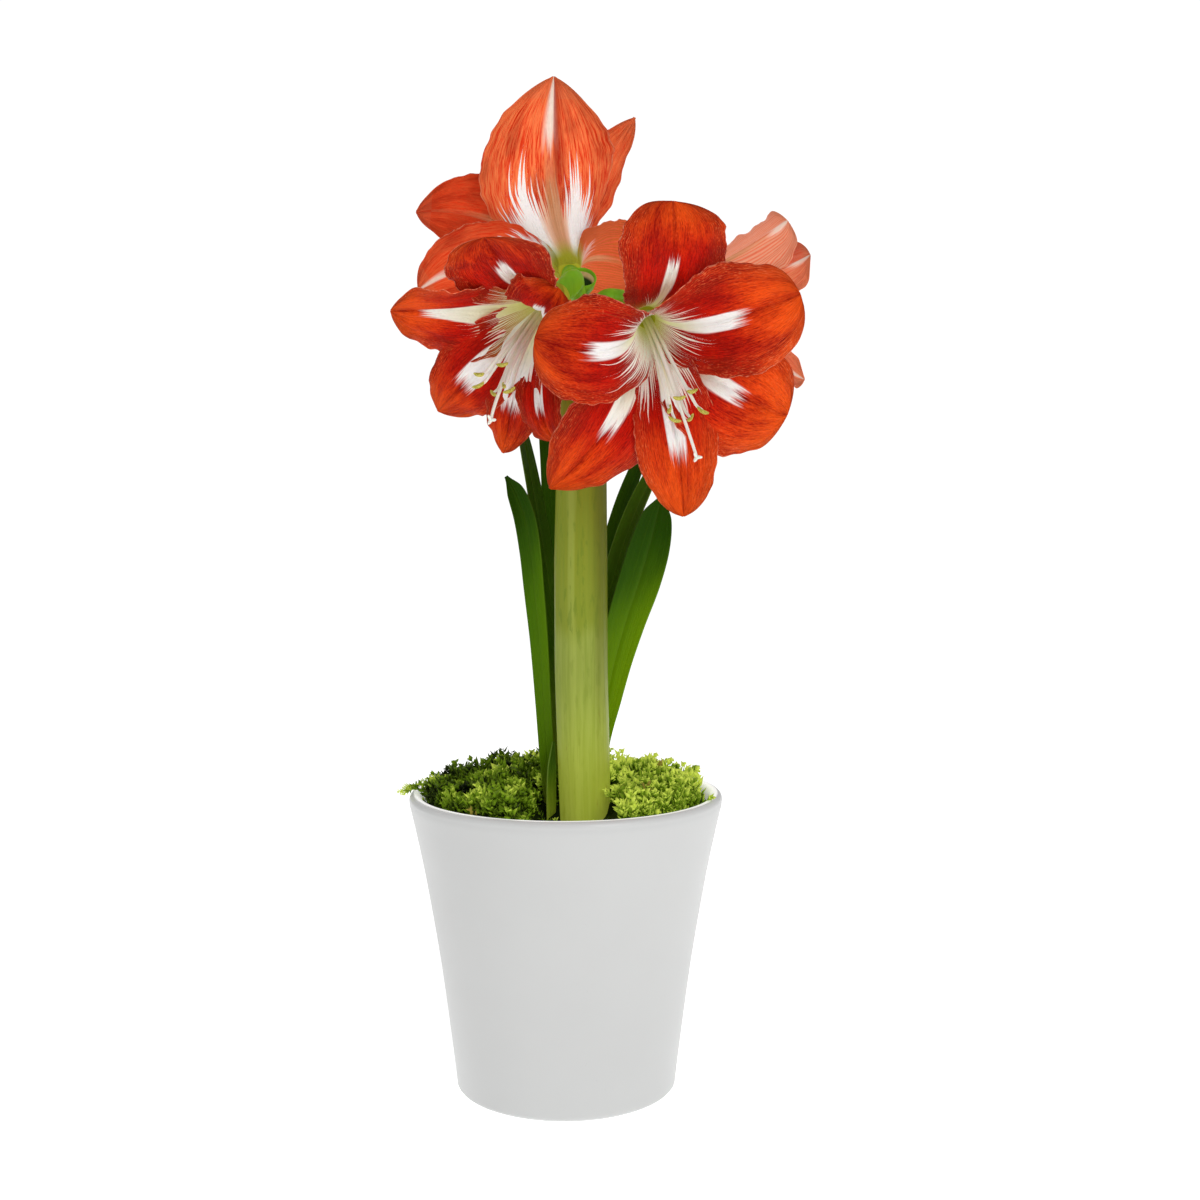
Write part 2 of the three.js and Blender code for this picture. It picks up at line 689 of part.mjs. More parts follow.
// One withered bract, which leaves the crown of the stem and hangs down below the stalks.
function bractSolid(degrees) {
  const clock = radians(degrees);
  const out = vec(Math.cos(clock), Math.sin(clock), 0);
  const side = vec(-Math.sin(clock), Math.cos(clock), 0);
  const at = (reach, height) => vec(...SCAPE.crown).addScaledVector(out, reach).add(vec(0, 0, height));
  const path = new THREE.CubicBezierCurve3(
    at(0.3 * BRACT.reach, 0),
    at(0.7 * BRACT.reach, 2),
    at(0.94 * BRACT.reach, -0.47 * BRACT.hang),
    at(BRACT.reach, -BRACT.hang),
  );
  const shape = (u, v) => path.getPoint(u)
    .addScaledVector(side, v * (BRACT.halfWidth * (1 - u) ** 0.7 + BRACT.tipHalfWidth))
    .addScaledVector(out, -1.6 * v * v);
  return blade(shape, 4, 2, BRACT.thickness);
}

function scape() {
  return join([scapeSolid(), ...BLOOMS.map(stalkSolid), ...BRACT.clocks.map(bractSolid)]);
}

// ---------------------------------------------------------------- moss

function mossHeight(x, y) {
  const { stemGap, leafGap } = MOSS;
  const hollow = (gap) => Math.exp(-(((x - gap.x) / gap.halfWidth) ** gap.steepness));
  const inFront = hollow(stemGap) * smooth(-y, 4, 30);
  const atLeaf = hollow(leafGap) * smooth(-y, -12, 12);
  const lumps = 1.5 * Math.sin(0.31 * x + 1.1) * Math.cos(0.27 * y + 0.4)
    + 1.3 * Math.sin(0.63 * x - 0.35 * y) + 1.1 * Math.cos(0.48 * x + 0.71 * y + 2);
  const dome = smooth(MOSS.radius - Math.hypot(x, y), 0, MOSS.slope);
  const height = MOSS.edgeHeight + (MOSS.crownHeight - MOSS.edgeHeight) * dome
    - stemGap.depth * inFront - leafGap.depth * atLeaf + lumps * (1 - 0.6 * inFront);
  return Math.max(height, MOSS.base + MOSS.thinnest);
}

function mossSolid() {
  const { rings, sides, radius, base } = MOSS;
  const points = [vec(0, 0, mossHeight(0, 0)), vec(0, 0, base)];
  const triangles = [];
  const at = (ring, side) => 2 + (ring - 1) * sides + (side % sides);
  for (let ring = 1; ring <= rings; ring += 1) {
    for (let side = 0; side < sides; side += 1) {
      const angle = (2 * Math.PI * (side + 0.5 * (ring % 2))) / sides;
      const reach = radius * (ring / rings);
      const rough = MOSS.relief * (chance(7 * ring + side * 1.3) - 0.5) * (ring < rings ? 1 : 0.4);
      const level = mossHeight(reach * Math.cos(angle), reach * Math.sin(angle)) + rough;
      const height = Math.max(level, base + MOSS.thinnest);
      const r = Math.min(reach, potInsideAt(height) - 0.8);
      points.push(vec(r * Math.cos(angle), r * Math.sin(angle), height));
    }
  }
  const foot = points.length;
  for (let side = 0; side < sides; side += 1) {
    const edge = points[at(rings, side)];
    const inset = (potInsideAt(base) - CLEAR - 0.6) / radius;
    points.push(vec(edge.x * inset, edge.y * inset, base));
  }
  for (let side = 0; side < sides; side += 1) {
    triangles.push(0, at(1, side), at(1, side + 1));
    for (let ring = 1; ring < rings; ring += 1) {
      const [a, b] = [at(ring, side), at(ring, side + 1)];
      const [c, d] = [at(ring + 1, side), at(ring + 1, side + 1)];
      if (ring % 2) triangles.push(a, d, b, a, c, d);
      else triangles.push(a, c, b, b, c, d);
    }
    const [a, b] = [at(rings, side), at(rings, side + 1)];
    const [c, d] = [foot + side, foot + ((side + 1) % sides)];
    triangles.push(a, c, d, a, d, b, 1, d, c);
  }
  return solidFrom(geometryFrom(points, triangles));
}

// A short tapered shoot of moss, leaning the way that it is told to.
function mossShoot(foot, lean, length, radius) {
  const bend = foot.clone().addScaledVector(lean, 0.5 * length).add(vec(0, 0, 0.16 * length));
  const path = new THREE.QuadraticBezierCurve3(foot, bend, foot.clone().addScaledVector(lean, length));
  return rod(path, (t) => radius * (1 - 0.75 * t), 2, 3);
}

// The cushion with its shoots, and a plain hole for the flower stem and for every leaf.
function moss() {
  const goldenAngle = Math.PI * (3 - Math.sqrt(5));
  const shoots = [];
  for (let i = 0; i < MOSS.tufts; i += 1) {
    const angle = i * goldenAngle;
    const r = 20 + 46 * Math.sqrt((i + 0.5) / MOSS.tufts);
    const [x, y] = [r * Math.cos(angle), r * Math.sin(angle)];
    const nearStem = Math.hypot(x - 6, y + 10) < 26 || (Math.abs(x - 5) < 24 && y < -15);
    if (!nearStem) {
      const out = vec(x, y, 0).normalize().multiplyScalar(r < 60 ? 0.5 : -0.3);
      const lean = out.add(vec(0.5 * chance(i) - 0.25, 0.5 * chance(i + 60) - 0.25, 1)).normalize();
      const foot = vec(x, y, mossHeight(x, y) - MOSS.tuftRadius);
      shoots.push(mossShoot(foot, lean, MOSS.tuftLength * (0.85 + 0.3 * chance(i + 9)), MOSS.tuftRadius));
    }
  }
  const sprig = new THREE.CatmullRomCurve3(MOSS.sprig.map((point) => vec(...point)));
  shoots.push(rod(sprig, (t) => MOSS.sprigRadius * (1 - 0.65 * t), 6, 4));
  const holes = [scapeSolid(CLEAR), ...LEAVES.map((leaf) => leafSolid(leaf, CLEAR))];
  return holes.reduce((cushion, hole) => cushion.subtract(hole), join([mossSolid(), ...shoots]));
}

// ---------------------------------------------------------------- colours and assembly

const finish = (color, roughness) => new THREE.MeshStandardMaterial({ color, roughness, metalness: 0 });
const GLAZE = finish('#dcdddb', 0.45);
const EARTH = finish('#3a2a1e', 1);
const BULB_SKIN = finish('#8a5a34', 0.8);
const MOSS_GREEN = finish('#6f8f26', 0.95);
const STEM_GREEN = finish('#93a044', 0.5);
const LEAF_GREEN = finish('#3f6a16', 0.45);
const PETAL_RED = finish('#d03a16', 0.55);
const STAMEN_IVORY = finish('#e6e2c4', 0.5);

const amaryllis = new THREE.Group();

function add(name, geometry, material) {
  const mesh = new THREE.Mesh(geometry, material);
  mesh.name = name;
  amaryllis.add(mesh);
}

add('pot', pot(), GLAZE);
add('soil', geometryOf(soil()), EARTH);
add('bulb', geometryOf(bulbSolid(0)), BULB_SKIN);
add('moss', geometryOf(moss()), MOSS_GREEN);
add('scape', geometryOf(scape()), STEM_GREEN);
for (const leaf of LEAVES) add(leaf.name, geometryOf(leafSolid(leaf)), LEAF_GREEN);
for (const bloom of BLOOMS) {
  add(`bloom_${bloom.name}`, geometryOf(bloomSolid(bloom)), PETAL_RED);
  add(`stamens_${bloom.name}`, geometryOf(stamenSolid(bloom)), STAMEN_IVORY);
}

export default amaryllis;
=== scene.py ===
"""Amaryllis in flower in a white ceramic pot, with moss round its foot.

Laid out as a Blender add-on: every piece has an operator, and the panel in the 3D view's sidebar lists them.
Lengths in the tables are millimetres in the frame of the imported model: +Z up, the best side faces -Y.
"""

import math
from collections import namedtuple

import bpy
import numpy as np
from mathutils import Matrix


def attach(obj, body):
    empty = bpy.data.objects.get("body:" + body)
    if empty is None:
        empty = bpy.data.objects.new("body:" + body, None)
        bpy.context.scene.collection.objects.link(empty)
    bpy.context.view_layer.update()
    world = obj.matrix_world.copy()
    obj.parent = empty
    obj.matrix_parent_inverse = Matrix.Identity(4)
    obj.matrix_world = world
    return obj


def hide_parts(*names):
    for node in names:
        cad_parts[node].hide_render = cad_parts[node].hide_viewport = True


bl_info = {
    "name": "Potted amaryllis",
    "version": (1, 0, 0),
    "blender": (4, 5, 0),
    "location": "3D View > Sidebar > Amaryllis",
    "description": "Makes an amaryllis in flower in a white pot with moss",
    "category": "Add Mesh",
}

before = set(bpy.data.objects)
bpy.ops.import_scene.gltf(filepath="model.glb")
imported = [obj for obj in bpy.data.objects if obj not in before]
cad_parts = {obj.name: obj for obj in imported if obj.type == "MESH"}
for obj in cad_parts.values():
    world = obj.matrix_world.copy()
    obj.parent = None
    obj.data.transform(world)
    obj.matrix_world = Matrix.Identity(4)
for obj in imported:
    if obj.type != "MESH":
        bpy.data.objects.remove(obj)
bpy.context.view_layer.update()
MM = 0.001
TURN = 2 * math.pi
BLACK = (0.0, 0.0, 0.0)
WHITE = (1.0, 1.0, 1.0)

# ------------------------------------------------------------------ sizes of the plant

CROWN = (7, -12, 391)             # where the four flower stalks leave the stem

POT_OUTSIDE = [(53, 0), (54.2, 0.15), (55.3, 0.7), (56.2, 1.8), (58.3, 20), (64.2, 65), (71, 106), (76, 131),
               (79.4, 146)]
POT_LIP_RADIUS = 79.7
POT_HEIGHT = 152
POT_WALL = 6.5
POT_FLOOR = 8
POT_FLAT = 30                     # radius of an inner ring of points on the foot and on the floor

# centre line of the flower stem, and its radius
STEM = [
    (10, -15, 135.05, 12.4), (9.4, -15, 165, 13), (8, -15, 215, 13.2), (7.8, -15, 270, 13.2),
    (8.2, -14.5, 320, 12.4), (7.6, -13, 365, 11), (7, -12, 388, 9.6), (7, -12, 396, 6.5),
]
COLLAR = [(0, 0), (4.6, 0), (6.2, 3), (7, 8), (6.7, 8.7), (6.1, 8.2), (5.2, 3), (0, 1.5)]
COLLAR_PLACE = (8, -12, 403.5)    # foot of the ring that the bud's sheath left
COLLAR_AXIS = (0.1, -0.74, 0.66)
BRACT_CLOCKS = (115, 20)          # where each withered bract hangs, in degrees round the stem

# A strap leaf: turn of its blade from the XZ plane in degrees, depth of its hollow as a share of its half width,
# how pale it is, how much of it is yellow-green, and its stations as x, y, z and half width.
Leaf = namedtuple("Leaf", "name turn channel pale gold stations")
LEAVES = [
    Leaf("leaf_1", -12, 0.3, 0.05, 0.4, [
        (-7.2, -4.5, 135.1, 3), (-9.2, -6, 168, 4.1), (-11, -7.5, 199, 4.6), (-12.9, -8.5, 229, 5.2),
        (-15.3, -9, 255, 5.8), (-17.2, -8.5, 275, 6.2), (-20.2, -7, 292, 6.2), (-24.8, -4, 304, 5),
        (-30, 0, 312, 1)]),
    Leaf("leaf_2", 64, 0.1, 0.25, 0.05, [
        (-4.5, 6.5, 135.1, 3.4), (-6, 7, 177, 4.6), (-7, 6.5, 219, 6.2), (-8.2, 5.5, 249, 7.5),
        (-10.6, 4.5, 270, 8.5), (-14, 4.5, 290, 9), (-17.5, 5, 310, 8.5), (-21.6, 7, 331, 6.5), (-26, 11, 353, 1)]),
    Leaf("leaf_3", 12, 0.3, 0.0, 0.0, [
        (1.5, 14, 135.1, 6), (2, 15, 197, 8), (-1.2, 16, 249, 10.5), (-3, 17, 290, 11), (-5, 18, 326, 10.5),
        (-9.5, 20, 352, 7), (-14, 22, 368, 1)]),
    Leaf("leaf_4", -28, 0.35, 0.05, 0.0, [
        (13, 19, 135.1, 4.2), (15.5, 20, 196, 5.5), (19, 22, 248, 5.8), (24, 25, 277, 5.6), (30, 28, 298, 5.2),
        (37, 32, 316, 4.6), (45, 38, 340, 1)]),
    Leaf("leaf_5", -30, 0.35, 0.45, 0.15, [
        (13, 11.5, 135.1, 4), (15.5, 12, 197, 5.2), (19.5, 13, 239, 6), (26.4, 14.5, 267, 6.2), (35, 17, 292, 6),
        (42.6, 20, 309, 5), (52, 26, 331, 1)]),
    Leaf("leaf_6", 8, 0.2, 0.02, 1.0, [
        (12.5, 3.5, 135.1, 5), (16.5, 3.5, 178, 7), (20.5, 3.5, 198, 8.5), (25, 4, 219, 10), (30.6, 4.5, 239, 11.3),
        (37.2, 5.5, 259, 12.4), (42.6, 7, 277, 11.8), (46.4, 9, 292, 8.6), (49.4, 11, 303, 1)]),
    Leaf("leaf_young", 30, 0.4, 0.8, 1.0, [
        (-7.5, -12.5, 135.1, 2.6), (-7.6, -13, 150, 3), (-7.2, -13, 166, 2.6), (-6, -12.5, 179, 0.9)]),
]

# A petal. clock: its angle in degrees round the bloom's axis, 0 at the top; reach and rise: how far its tip lies
# from the axis and how far forward; crown: the control point of its midrib, as rise and reach; half: half its width;
# sweep and roll: its sideways curve and its twist in degrees; point: how sharp its tip is, from 0 to 1; outer: in
# the outer whorl. streak: how far up the white midrib stripe reaches; stripe: half its width as a share of the
# petal's; fan: how far up the white lies beside it; veined: how much of that white red veins take up; warm_and_lit:
# how orange the red is and how much painted light the petal gets, more orange where it catches the light, less
# painted shade in its folds, and a back browner as painted shade where it is low; faded: how salmon the back is;
# tip: how pale the end of the midrib is on the back; taper: how much the stripe narrows and yellows.
Petal = namedtuple("Petal", "clock reach rise crown half sweep roll point outer streak stripe fan veined warm "
                   "faded tip taper", defaults=(0.0, 0.0, 0.0))
# A bloom. base: the foot of its tube; faces: the way it looks; droop and drift: how far its filaments sink and lean.
Bloom = namedtuple("Bloom", "name base faces droop drift petals")
BLOOMS = [
    Bloom("front_right", (38.2, -39.8, 388.6), (0.147, -0.903, -0.403), 25, 9, [
        Petal(3, 64.5, 44, (66, 36), 27, -3, -14, 0.0, True, 0.7, 0.15, 0.4, 1, 0.12, 0, 0, 0.4),
        Petal(65, 64.5, 55, (47, 18), 29, -2, -1, 0.1, False, 0.78, 0.15, 0.54, 0.95, 0.36),
        Petal(125, 69, 50, (59, 30), 31, -8, 3, 0.2, True, 0.76, 0.18, 0.6, 0, 0.45, 0, 0, 0.3),
        Petal(166, 81, 52, (56, 28), 20.5, 3, -5, 0.4, False, 0.78, 0.2, 0.56, 0, 0.5),
        Petal(209, 83, 51, (68, 31), 26, 6, 10, 0.7, True, 0.72, 0.2, 0.52, 0, 0.25, 0, 0, 0.35),
        Petal(270, 58.5, 48, (72, 21), 26, 5, -2, 0.1, False, 0.76, 0.16, 0.6, 0.75, 0.22),
    ]),
    Bloom("front_left", (-2, -39.8, 398.3), (-0.461, -0.717, -0.523), 14, 0, [
        Petal(18, 56, 60, (46, 32), 28, -2, -19, 0.1, True, 0.76, 0.2, 0.46, 1, 0, 0, 0, 0.4),
        Petal(298, 54, 58, (35, 30), 28, 0, 20, 0.5, False, 0.84, 0.27, 0.56, 1, 0.35, 0, 0, 0.85),
        Petal(239, 70, 44, (53, 27), 21, -1, 1, 0.7, True, 0.76, 0.26, 0.46, 0.3, 0.3),
        Petal(197, 66, 41, (43, 24), 15, 8, 0, 0.6, False, 0.76, 0.36, 0.6, 0, 0.2),
        Petal(174, 55, 45, (60, 36), 13, 0, 0, 0.3, True, 0.72, 0.2, 0.5, 0.3, 0.2, 0, 0.6),
        Petal(61, 40, 40, (54, 28), 19, -4, -2, 0.3, False, 0.72, 0.2, 0.5, 1, 0.1),
    ]),
    Bloom("back_left", (2.5, 2.3, 413.5), (-0.24, 0.81, 0.53), 18, 0, [
        Petal(7, 78.5, 62, (59, 16), 40.5, -3, -1, 0.75, True, 0.84, 0.14, 0.75, 0.2, 0.6, 0, 1),
        Petal(82, 68.5, 59, (70, 24), 24, 6, 4, 0.6, False, 0.74, 0.16, 0.56, 0.3, 0.05),
        Petal(115, 75, 53, (63, 33), 23, 4, 2, 0.5, True, 0.74, 0.16, 0.66, 0.2, 0.15, 0, 0.8),
        Petal(180, 62, 48, (62, 34), 21, 0, 0, 0.2, False, 0.74, 0.16, 0.5, 0.5, 0.4),
        Petal(250, 61, 51, (62, 35), 24, 0, -1, 0.3, True, 0.74, 0.16, 0.5, 0.5, 0, 0.75),
        Petal(311, 72, 66, (72, 24), 19.5, 12, -5, 0.9, False, 0.74, 0.16, 0.4, 0.5, 0.5),
    ]),
    Bloom("back_right", (36.3, 14.2, 401), (0.97, 0.22, -0.05), 13, 0, [
        Petal(337, 48, 71.5, (62, 38), 25, -1, -17, 0.2, True, 0.74, 0.16, 0.2, 0.5, 0.5, 0.95, 0.8),
        Petal(300, 45, 73, (63, 31), 23, 3, 11, 0.5, False, 0.74, 0.16, 0.2, 0.5, 0.5, 0.45, 0.8),
        Petal(222, 54, 78, (60, 34), 24, 5, -19, 0.6, True, 0.74, 0.16, 0.2, 0.5, 0.5, 0.3, 0.8),
        Petal(172, 50, 72, (62, 34), 20, 0, 0, 0.2, False, 0.74, 0.16, 0.4, 0.5, 0.5, 0.4),
        Petal(115, 54, 68, (62, 34), 21, 0, 0, 0.3, True, 0.74, 0.16, 0.4, 0.5, 0.5, 0.4),
        Petal(50, 52, 69, (62, 34), 20, 0, 0, 0.2, False, 0.74, 0.16, 0.4, 0.5, 0.5, 0.4),
    ]),
]
CUP = [(0, 0), (5.6, 0), (6.1, 4), (6.3, 8), (3.5, 8), (3, 2), (0, 2)]
LINES_PER_MM = 0.6                # strips of white and red in each half of a petal, for its half width
LONG_WAVE = 2.2                   # height of the long waves along a petal's margin
STAMEN_FOOT = 2.35                # how far in front of the bloom's base the filaments stand
FILAMENTS = 6
FILAMENT_REACH = 70               # how far forward an average filament ends, measured from the bloom's base
STYLE_REACH = 79
ANTHER = 1.0                      # what the value called kind says of an anther


def srgb(red, green, blue):
    """A linear colour from 0 to 255 display values."""
    return tuple(((c / 255 + 0.055) / 1.055) ** 2.4 if c > 10 else c / 3294.6 for c in (red, green, blue))


def darker(colour, share):
    return tuple(share * c for c in colour)


# ------------------------------------------------------------------ the sizes and colours that a user changes


def length(name, description, default):
    return bpy.props.FloatProperty(name=name, description=description, default=default, unit="LENGTH", min=0,
                                   precision=5)


def colour(name, description, *display):
    return bpy.props.FloatVectorProperty(name=name, description=description, default=srgb(*display), size=3,
                                         subtype="COLOR", min=0, max=1)


class AmaryllisSizes(bpy.types.PropertyGroup):
    petal_thickness: length("Petal thickness", "Thickness of a petal beside its midrib", 0.0008)
    petal_ruffle: length("Petal ruffle", "Height of the small waves along a petal's margin", 0.0008)
    leaf_thickness: length("Leaf thickness", "Thickness of a leaf blade", 0.0013)
    filament_radius: length("Filament radius", "Radius of a filament at its foot", 0.00115)
    moss_shoots: bpy.props.IntProperty(name="Moss shoots", description="Number of moss shoots", default=2500, min=10)
    moss_shoot_length: length("Moss shoot length", "Length of a middling moss shoot", 0.0145)


class AmaryllisColours(bpy.types.PropertyGroup):
    glaze: colour("Glaze", "Satin white of the pot", 202, 203, 202)
    soil: colour("Soil", "Moist potting soil", 52, 36, 26)
    bulb: colour("Bulb skin", "Dry papery skin of the bulb", 142, 92, 54)
    petal_red: colour("Petal red", "Main red of a petal", 198, 18, 3)
    # petal deep red: the red of veins and pits, and also painted shade in the folds, along the midrib's groove and
    # in a crease on the back
    petal_deep: colour("Petal deep red", "Red in the folds and veins", 142, 12, 4)
    petal_orange: colour("Petal orange", "Orange of the lit part of a petal", 242, 84, 18)
    petal_white: colour("Petal white", "White of the star", 250, 247, 244)
    petal_salmon: colour("Petal back", "Salmon on the back of a petal", 248, 164, 130)
    throat: colour("Throat", "Green of the throat and of the bloom's foot", 182, 180, 66)
    cream: colour("Cream", "Cream between throat and star", 230, 228, 170)
    leaf_dark: colour("Leaf dark", "Darkest green of a leaf", 20, 56, 0)
    leaf_green: colour("Leaf green", "Main green of a leaf", 70, 114, 0)
    leaf_gold: colour("Leaf yellow-green", "Yellow-green of a leaf's lower part", 118, 156, 2)
    stem: colour("Stem", "Pale green of the flower stem", 140, 156, 50)
    # the stem olive below is painted shade on the stem's right side, strongest high up under the blooms
    stem_olive: colour("Stem olive", "Olive shade on the stem", 84, 86, 6)
    moss_green: colour("Moss green", "Main green of the moss", 116, 150, 20)
    moss_bright: colour("Moss bright", "Yellow-green of the moss tips", 200, 216, 84)
    moss_dark: colour("Moss dark", "Dark green deep in the moss", 24, 36, 2)
    filament: colour("Filament", "White of filaments and style", 238, 238, 226)
    anther: colour("Anther", "Olive yellow of the anthers", 158, 150, 50)


# ------------------------------------------------------------------ surfaces


def smooth(x, low, high):
    """0 below low, 1 above high, and a soft step between."""
    t = np.clip((x - low) / (high - low), 0, 1)
    return t * t * (3 - 2 * t)


def unit(vectors):
    return vectors / np.linalg.norm(vectors, axis=-1, keepdims=True)


def circle(count):
    """Angles in even steps round a full turn."""
    return np.linspace(0, TURN, count, endpoint=False)


def ripple(turns):
    """A sine wave, counted in full turns."""
    return np.sin(TURN * turns)


def bezier(controls, t):
    """Cubic Bezier curve: the controls weighted by (1-t)^3, 3(1-t)^2 t, 3(1-t) t^2 and t^3."""
    a, b, c, d = np.asarray(controls, float)
    t = np.asarray(t)[..., None]
    return (1 - t) ** 3 * a + 3 * (1 - t) ** 2 * t * b + 3 * (1 - t) * t * t * c + t**3 * d


def around(padded, t):
    """The two values before each place t, the two after it, and how far it lies between the nearer ones.

    t runs from 0 at the second value to 1 at the last but one.
    """
    spans = len(padded) - 3
    place = np.clip(t, 0, 1) * spans
    index = np.minimum(place.astype(int), spans - 1)
    w = (place - index).reshape(place.shape + (1,) * (padded.ndim - 1))
    return [padded[index + k] for k in range(4)] + [w]


def joined(b, c, leave, arrive, w):
    """Cubic from b, with slope leave, to c, with slope arrive, for w from 0 to 1."""
    return b + leave * w + (3 * (c - b) - 2 * leave - arrive) * w**2 + (2 * (b - c) + leave + arrive) * w**3


def through(points, t):
    """Centripetal Catmull-Rom curve through points, for t from 0 to 1 counted in points."""
    points = np.asarray(points, float)
    a, b, c, d, w = around(np.vstack([2 * points[0] - points[1], points, 2 * points[-1] - points[-2]]), t)

    def gap(p, q):
        return np.maximum(np.sqrt(np.linalg.norm(q - p, axis=1, keepdims=True)), 1e-4)

    before, here, after = gap(a, b), gap(b, c), gap(c, d)
    leave = ((b - a) / before - (c - a) / (before + here) + (c - b) / here) * here
    arrive = ((c - b) / here - (d - b) / (here + after) + (d - c) / after) * here
    return joined(b, c, leave, arrive, w)


def eased(values, t):
    """Uniform Catmull-Rom curve through values with its end values repeated, for t from 0 to 1."""
    values = np.asarray(values, float)
    a, b, c, d, w = around(np.concatenate([values[:1], values, values[-1:]]), t)
    return joined(b, c, (c - a) / 2, (d - b) / 2, w)


def even(curve, count):
    """Points at even distances along a curve that is given as a function of t."""
    t = np.linspace(0, 1, 400)
    walked = np.concatenate([[0], np.cumsum(np.linalg.norm(np.diff(curve(t), axis=0), axis=1))])
    return curve(np.interp(np.linspace(0, walked[-1], count), walked, t))


def bands(rows, sides):
    """The four-sided faces between rings of points that are counted ring by ring."""
    side = np.arange(sides)
    following = (side + 1) % sides
    row = np.arange(rows - 1)[:, None] * sides
    return np.stack([row + side, row + following, row + sides + following, row + sides + side], -1).reshape(-1, 4)


class Skin:
    """Collects closed shells, in millimetres, and makes one mesh object of them."""

    def __init__(self, *names):
        self.points, self.across, self.faces, self.count = [], [], [], 0
        self.values = {name: [] for name in names}

    def shell(self, points, faces, across=None, **values):
        """Adds one closed shell, turned outward: its faces are reversed where its volume comes out negative."""
        faces = [np.asarray(block) for block in faces]
        volume = sum(np.sum(points[block[:, 0]] * np.cross(points[block[:, k]], points[block[:, k + 1]]))
                     for block in faces for k in range(1, block.shape[1] - 1))
        for block in faces:
            self.faces.append((block[:, ::-1] if volume < 0 else block) + self.count)
        self.points.append(points)
        self.across.append(np.zeros((len(points), 2)) if across is None else across)
        for name, kept in self.values.items():
            kept.append(np.broadcast_to(np.asarray(values.get(name, 0.0), float), (len(points),)))
        self.count += len(points)

    def rings(self, grid, across=None, **values):
        """A closed skin through rings of points, grid[ring, side], with a fan round the middle of each end."""
        rows, sides = grid.shape[:2]
        side = np.arange(sides)
        following = (side + 1) % sides
        last = (rows - 1) * sides
        foot, top = np.full(sides, rows * sides), np.full(sides, rows * sides + 1)
        fans = np.concatenate([np.stack([foot, following, side], -1),
                               np.stack([top, last + side, last + following], -1)])

        def with_ends(field):
            field = np.broadcast_to(field, (rows, sides) + np.shape(field)[2:])
            return np.concatenate([field.reshape((-1,) + field.shape[2:]), [field[0].mean(0), field[-1].mean(0)]])

        self.shell(with_ends(grid), [bands(rows, sides), fans], None if across is None else with_ends(across),
                   **{name: value if np.ndim(value) == 0 else with_ends(value) for name, value in values.items()})

    def piece(self, name, material, slot, *replaced):
        """The mesh object, in metres, with UV map, named values, material and body."""
        mesh = bpy.data.meshes.new(name)
        points = np.concatenate(self.points) * MM
        faces = [face for block in self.faces for face in block.tolist()]
        mesh.from_pydata(points.tolist(), [], faces)
        loop = np.empty(len(mesh.loops), np.int32)
        mesh.loops.foreach_get("vertex_index", loop)
        across = np.concatenate(self.across)
        mesh.uv_layers.new(name="UVMap").data.foreach_set("uv", across[loop].ravel().astype(np.float32))
        for value_name, kept in self.values.items():
            values = np.concatenate(kept).astype(np.float32)
            mesh.attributes.new(value_name, "FLOAT", "POINT").data.foreach_set("value", values)
        mesh.polygons.foreach_set("use_smooth", np.ones(len(mesh.polygons), bool))
        mesh.materials.append(material)
        mesh.update()
        piece = bpy.data.objects.new(name, mesh)
        bpy.context.scene.collection.objects.link(piece)
        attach(piece, "root")
        if replaced:
            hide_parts(*replaced)
        return piece


def rod(path, radius, sides, reference):
    """Rings round a path: each stands square to it, turned so that one spoke lies square to the reference too.

    radius has one value for each ring, or one for each point of each ring.
    """
    along = unit(np.gradient(path, axis=0))
    side = unit(np.cross(along, reference))
    up = np.cross(side, along)
    angle = circle(sides)[:, None]
    spokes = np.cos(angle) * side[:, None] + np.sin(angle) * up[:, None]
    return path[:, None] + spokes * (radius[:, None, None] if radius.ndim == 1 else radius[..., None])


def turned(profile, sides, origin=(0, 0, 0), axes=np.eye(3)):
    """Rings of a profile of radius and height: round the last of three axes that stand square to each other."""
    profile = np.asarray(profile, float)
    angle = circle(sides)
    radius = np.maximum(profile[:, :1], 1e-3)
    height = np.broadcast_to(profile[:, 1:], (len(profile), sides))
    return np.stack([radius * np.cos(angle), radius * np.sin(angle), height], -1) @ np.array(axes) + origin


def blade(surface, u, v, thickness):
    """Rings round a thin blade: its inner face from margin to margin, then its outer face back.

    surface gives the middle of the blade for the rows u and columns v; each face lies half the thickness from it,
    along its normal. Also returns the UV of every point and 1 where it is on the inner face.
    """
    middle = surface(u, v)
    normal = unit(np.cross(np.gradient(middle, axis=1), np.gradient(middle, axis=0)))
    offset = normal * thickness[..., None] / 2
    grid = np.concatenate([middle + offset, (middle - offset)[:, ::-1]], axis=1)
    across = np.stack(np.broadcast_arrays(v[None, :] / 2 + 0.5, u[:, None]), -1)
    inside = np.zeros(grid.shape[:2])
    inside[:, :len(v)] = 1
    return grid, np.concatenate([across, across[:, ::-1]], axis=1), inside


# ------------------------------------------------------------------ material boards


def maths(operation):
    """A method that joins its value, and another where the operation takes two, to a new Math node."""
    return lambda value, *others: value.board.maths(operation, value, *others)


class Value:
    """A number socket of a material; its operators and its methods add Math nodes."""

    def __init__(self, board, socket):
        self.board, self.socket = board, socket

    def __rsub__(self, other):
        return self.board.maths("SUBTRACT", other, self)

    def __neg__(self):
        return self * -1.0

    __add__ = __radd__ = maths("ADD")
    __sub__ = maths("SUBTRACT")
    __mul__ = __rmul__ = maths("MULTIPLY")
    __truediv__ = maths("DIVIDE")
    __pow__ = maths("POWER")
    __abs__ = maths("ABSOLUTE")
    wave = maths("SINE")
    floor = maths("FLOOR")
    at_least = maths("MAXIMUM")
    at_most = maths("MINIMUM")


